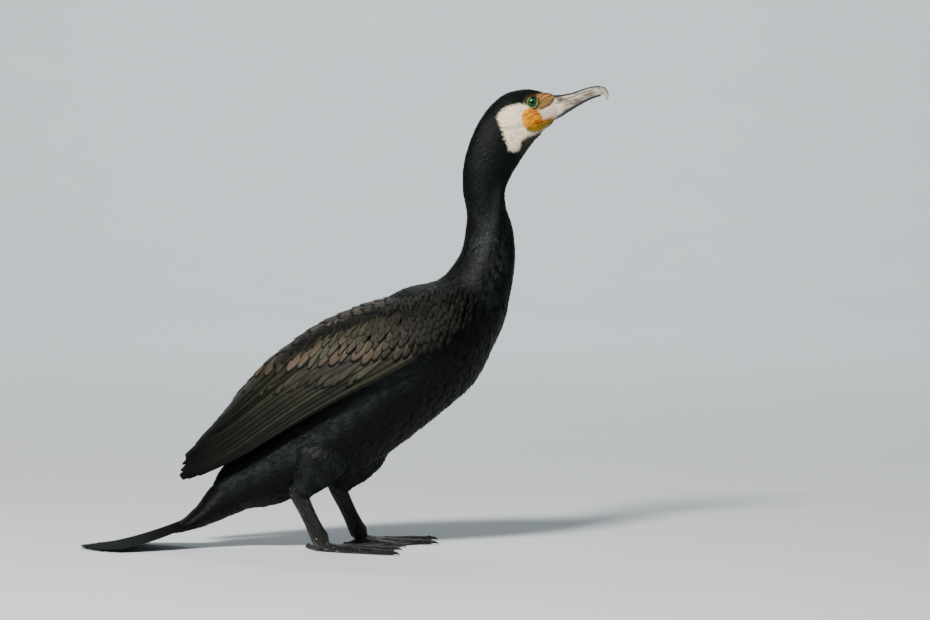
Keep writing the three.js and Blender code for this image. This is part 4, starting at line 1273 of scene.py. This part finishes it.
upper = bill_half("bill_upper_horn", True)
lower = bill_half("bill_lower_horn", False)
nail = tube("bill_nail", HOOK, 48, 60, horn.material, nail_tint)
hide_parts("bill_upper")
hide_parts("bill_lower")
for piece in (upper, lower, nail):
    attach(piece, "root")
print("bill faces", [len(piece.data.polygons) for piece in (upper, lower, nail)])

# %% [markdown]
# The eye is emerald, and it is what people remember of the bird. The iris is drawn by distance from the
# eye's own axis: a black pupil, a green iris that lightens outward and a dark rim. A clear, smooth
# surface gives the wet highlight, and a ring of small green and olive beads stands on the lid round it.

# %% Eyes
BEADS = 30
BEAD_RING = 5.5
BEAD_RADIUS = 0.00085


def eye_recipe(label, middle):
    """Wet emerald iris round a black pupil."""
    r = Recipe(f"Emerald iris {label}", Roughness=0.06, Specular_IOR_Level=0.35)
    x, _, z = r.split(r.object_space())
    dx = r.math("SUBTRACT", x, float(middle[0]))
    dz = r.math("SUBTRACT", z, float(middle[2]))
    far = r.math("SQRT", r.math("ADD", r.math("MULTIPLY", dx, dx), r.math("MULTIPLY", dz, dz)))
    iris = r.mix(r.between(far, 0.0018, 0.0044), linear("#0a2c16"), linear("#1f5a30"))
    iris = r.mix(r.between(r.noise(1500, 2), 0.4, 0.7), iris, linear("#0e351c"))
    rimmed = r.mix(r.between(far, 0.0043, 0.0050), iris, linear("#06110e"))
    r.set("Base Color", r.mix(r.between(far, 0.0021, 0.0018), rimmed, linear("#020303")))
    return r.material


# Beaded skin of the lid, green and olive
bead_look = Recipe("Green and olive lid beads", Roughness=0.35)
olive_share = bead_look.between(bead_look.noise(420, 2), 0.42, 0.6)
bead_look.set("Base Color", bead_look.mix(olive_share, linear("#4a6a4c"), linear("#8f8438")))


def eyeball(label):
    low, high = (np.array(c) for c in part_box(f"eye_{label}"))
    middle = (low + high) / 2
    bm = bmesh.new()
    bmesh.ops.create_uvsphere(bm, u_segments=48, v_segments=32, radius=float((high - low)[2]) / 2)
    bmesh.ops.translate(bm, verts=bm.verts, vec=Vector(middle))
    return bm_object(f"eyeball_{label}", bm, eye_recipe(label, middle))


def lid_beads(side, label):
    """Small balls where rays from the side meet the lid."""
    bm = bmesh.new()
    for turn in 2 * math.pi * np.arange(BEADS) / BEADS:
        spot = EYE + (BEAD_RING * math.cos(turn), side * 30.0, BEAD_RING * math.sin(turn))
        hit, place, _, _ = skin.ray_cast(Vector(to_frame(spot)), Vector((0, -side, 0)))
        if hit:
            add_ball(bm, BEAD_RADIUS, place)
    return bm_object(f"lid_beads_{label}", bm, bead_look.material)


for side, label in SIDES:
    ball = eyeball(label)
    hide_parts(f"eye_{label}")
    for piece in (ball, lid_beads(side, label)):
        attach(piece, "root")
print("eye centre", eye_middle.round(4))

# %% [markdown]
# Legs and feet are copies of the solids, remeshed finely and smoothed, so that toes, webs and joints run
# into one another like skin. Scales come as bump: small cells everywhere, darker in their seams.

# %% Legs and feet
# Black scaly skin, with dust in patches
hide = Recipe("Black scaly leg skin", Roughness=0.3, Specular_IOR_Level=0.5)
cell_sockets = {"Vector": hide.object_space(), "Scale": 430.0}
cells = hide.add("ShaderNodeTexVoronoi", cell_sockets, feature="DISTANCE_TO_EDGE").outputs["Distance"]
scaled = hide.mix(hide.between(cells, 0.0, 0.35), linear("#040404"), linear("#1a201e"))
grime = hide.between(hide.noise(220, 4), 0.35, 0.7)
hide.set("Base Color", hide.mix(grime, scaled, linear("#0c0c0b")))
hide.bump(hide.between(cells, 0.0, 0.3), 0.0012, 1.0)
# Dark horn of the claws
claw_look = Recipe("Dark horn claws", Roughness=0.5, Specular_IOR_Level=0.25)
claw_look.set("Base Color", claw_look.mix(claw_look.noise(600, 2), linear("#131210"), linear("#2a2623")))

CUTICLE_RADIUS = 0.0026
CUTICLE_HEIGHT = 0.0028
MODIFIERS = (
    ("thicken", "DISPLACE", {"strength": 0.0009, "mid_level": 0}),
    ("remesh", "REMESH", {"mode": "VOXEL", "voxel_size": 0.0008}),
    ("relax", "SMOOTH", {"iterations": 4, "factor": 0.5}),
)


def joined_copy(name, label):
    """Shank and foot in one mesh, with a small ball at the end of each toe as the claw's cuticle."""
    bm = bmesh.new()
    for node in (f"shank_{label}", f"foot_{label}"):
        bm.from_mesh(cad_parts[node].data)
    low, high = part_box(f"shank_{label}")
    ankle = (Vector(low) + Vector(high)) / 2
    for toe in ("hallux", "inner", "middle", "outer"):
        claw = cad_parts[f"claw_{toe}_{label}"].data
        nearest = min((v.co for v in claw.vertices), key=lambda co: (co.xy - ankle.xy).length)
        add_ball(bm, CUTICLE_RADIUS, (nearest.x, nearest.y, CUTICLE_HEIGHT))
    return bm_object(name, bm, rounded=False)


def apply_modifiers(obj):
    """Turns an object's modifiers into its mesh."""
    graph = bpy.context.evaluated_depsgraph_get()
    finished = bpy.data.meshes.new_from_object(obj.evaluated_get(graph))
    obj.modifiers.clear()
    obj.data = finished


for side, label in SIDES:
    leg = joined_copy(f"leg_{label}", label)
    for name, kind, settings in MODIFIERS:
        modifier = leg.modifiers.new(name, kind)
        for key, value in settings.items():
            setattr(modifier, key, value)
    apply_modifiers(leg)
    for vert in leg.data.vertices:
        vert.co.z = max(vert.co.z, 0.0001)
    for polygon in leg.data.polygons:
        polygon.use_smooth = True
    leg.data.materials.clear()
    leg.data.materials.append(hide.material)
    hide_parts(f"shank_{label}", f"foot_{label}")
    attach(leg, "root")
    print("leg faces", len(leg.data.polygons))
for name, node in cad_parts.items():
    if name.startswith("claw"):
        node.data.materials.clear()
        node.data.materials.append(claw_look.material)

# %% [markdown]
# A plain pale floor sweeps up into a backdrop. One soft key stands high in front, left of the camera,
# with a very weak fill at the right, and a third lamp lights the backdrop alone. Black plumage shows
# only what it reflects, so the surroundings are kept dim.

# %% Stage and lights
# Plain pale floor, faintly uneven
floor_look = Recipe("Plain pale floor", Roughness=0.85)
floor_look.set("Base Color", floor_look.mix(floor_look.noise(6, 2), linear("#ccd4d8"), linear("#d4dadd")))
FLOOR_X = 11.0
SWEEP_RADIUS = 1.8
turns = np.linspace(0, math.pi / 2, 24)
curve = [(4.8 + SWEEP_RADIUS * math.sin(a), SWEEP_RADIUS - SWEEP_RADIUS * math.cos(a)) for a in turns]
bm = bmesh.new()
edge = [bm.verts.new((-FLOOR_X, y, z)) for y, z in [(-9.0, 0.0), *curve, (6.6, 9.0)]]
profile = [bm.edges.new(pair) for pair in zip(edge, edge[1:])]
swept = bmesh.ops.extrude_edge_only(bm, edges=profile)["geom"]
far_side = [g for g in swept if isinstance(g, bmesh.types.BMVert)]
bmesh.ops.translate(bm, verts=far_side, vec=(2 * FLOOR_X, 0, 0))
floor = bm_object("floor", bm, floor_look.material)

world = bpy.data.worlds.new("studio")
world.use_nodes = True
background = world.node_tree.nodes["Background"]
background.inputs["Color"].default_value = (*linear("#b9c8d2"), 1)
background.inputs["Strength"].default_value = 0.19
bpy.context.scene.world = world


def area_light(name, place, target, size, power, colour):
    data = bpy.data.lights.new(name, "AREA")
    data.size = size
    data.energy = power
    data.color = colour
    lamp = bpy.data.objects.new(name, data)
    lamp.location = place
    lamp.rotation_euler = (Vector(target) - Vector(place)).to_track_quat("-Z", "Y").to_euler()
    bpy.context.scene.collection.objects.link(lamp)


area_light("key", (-0.9, -2.2, 2.6), (0, 0, 0.25), 0.6, 215, (1.0, 0.95, 0.88))
area_light("fill", (2.2, -2.6, 0.9), (0, 0, 0.25), 1.8, 3, (0.9, 0.95, 1.0))
area_light("backdrop", (0, 3.4, 4.6), (0, 6.5, 1.0), 3.0, 260, (1.0, 1.0, 1.0))
print("lights", len(bpy.data.lights))

# %% [markdown]
# The camera looks at the bird's right side from some metres away and a little above, as a long lens
# does. Its distance makes the picture as wide at the bird as the side view is in millimetres.

# %% Camera
PICTURE_WIDTH = 1.023  # metres
CAMERA_RISE = math.radians(3)
data = bpy.data.cameras.new("camera")
data.lens = 150
data.sensor_width = 36
camera = bpy.data.objects.new("camera", data)
bpy.context.scene.collection.objects.link(camera)
distance = PICTURE_WIDTH * data.lens / data.sensor_width
away = np.array([0, -math.cos(CAMERA_RISE), math.sin(CAMERA_RISE)])
camera.location = to_frame((137.5, 0, 262.8)) + distance * away
camera.rotation_euler = (math.pi / 2 - CAMERA_RISE, 0, 0)
bpy.context.scene.camera = camera
print("camera distance", round(distance, 2), "m")
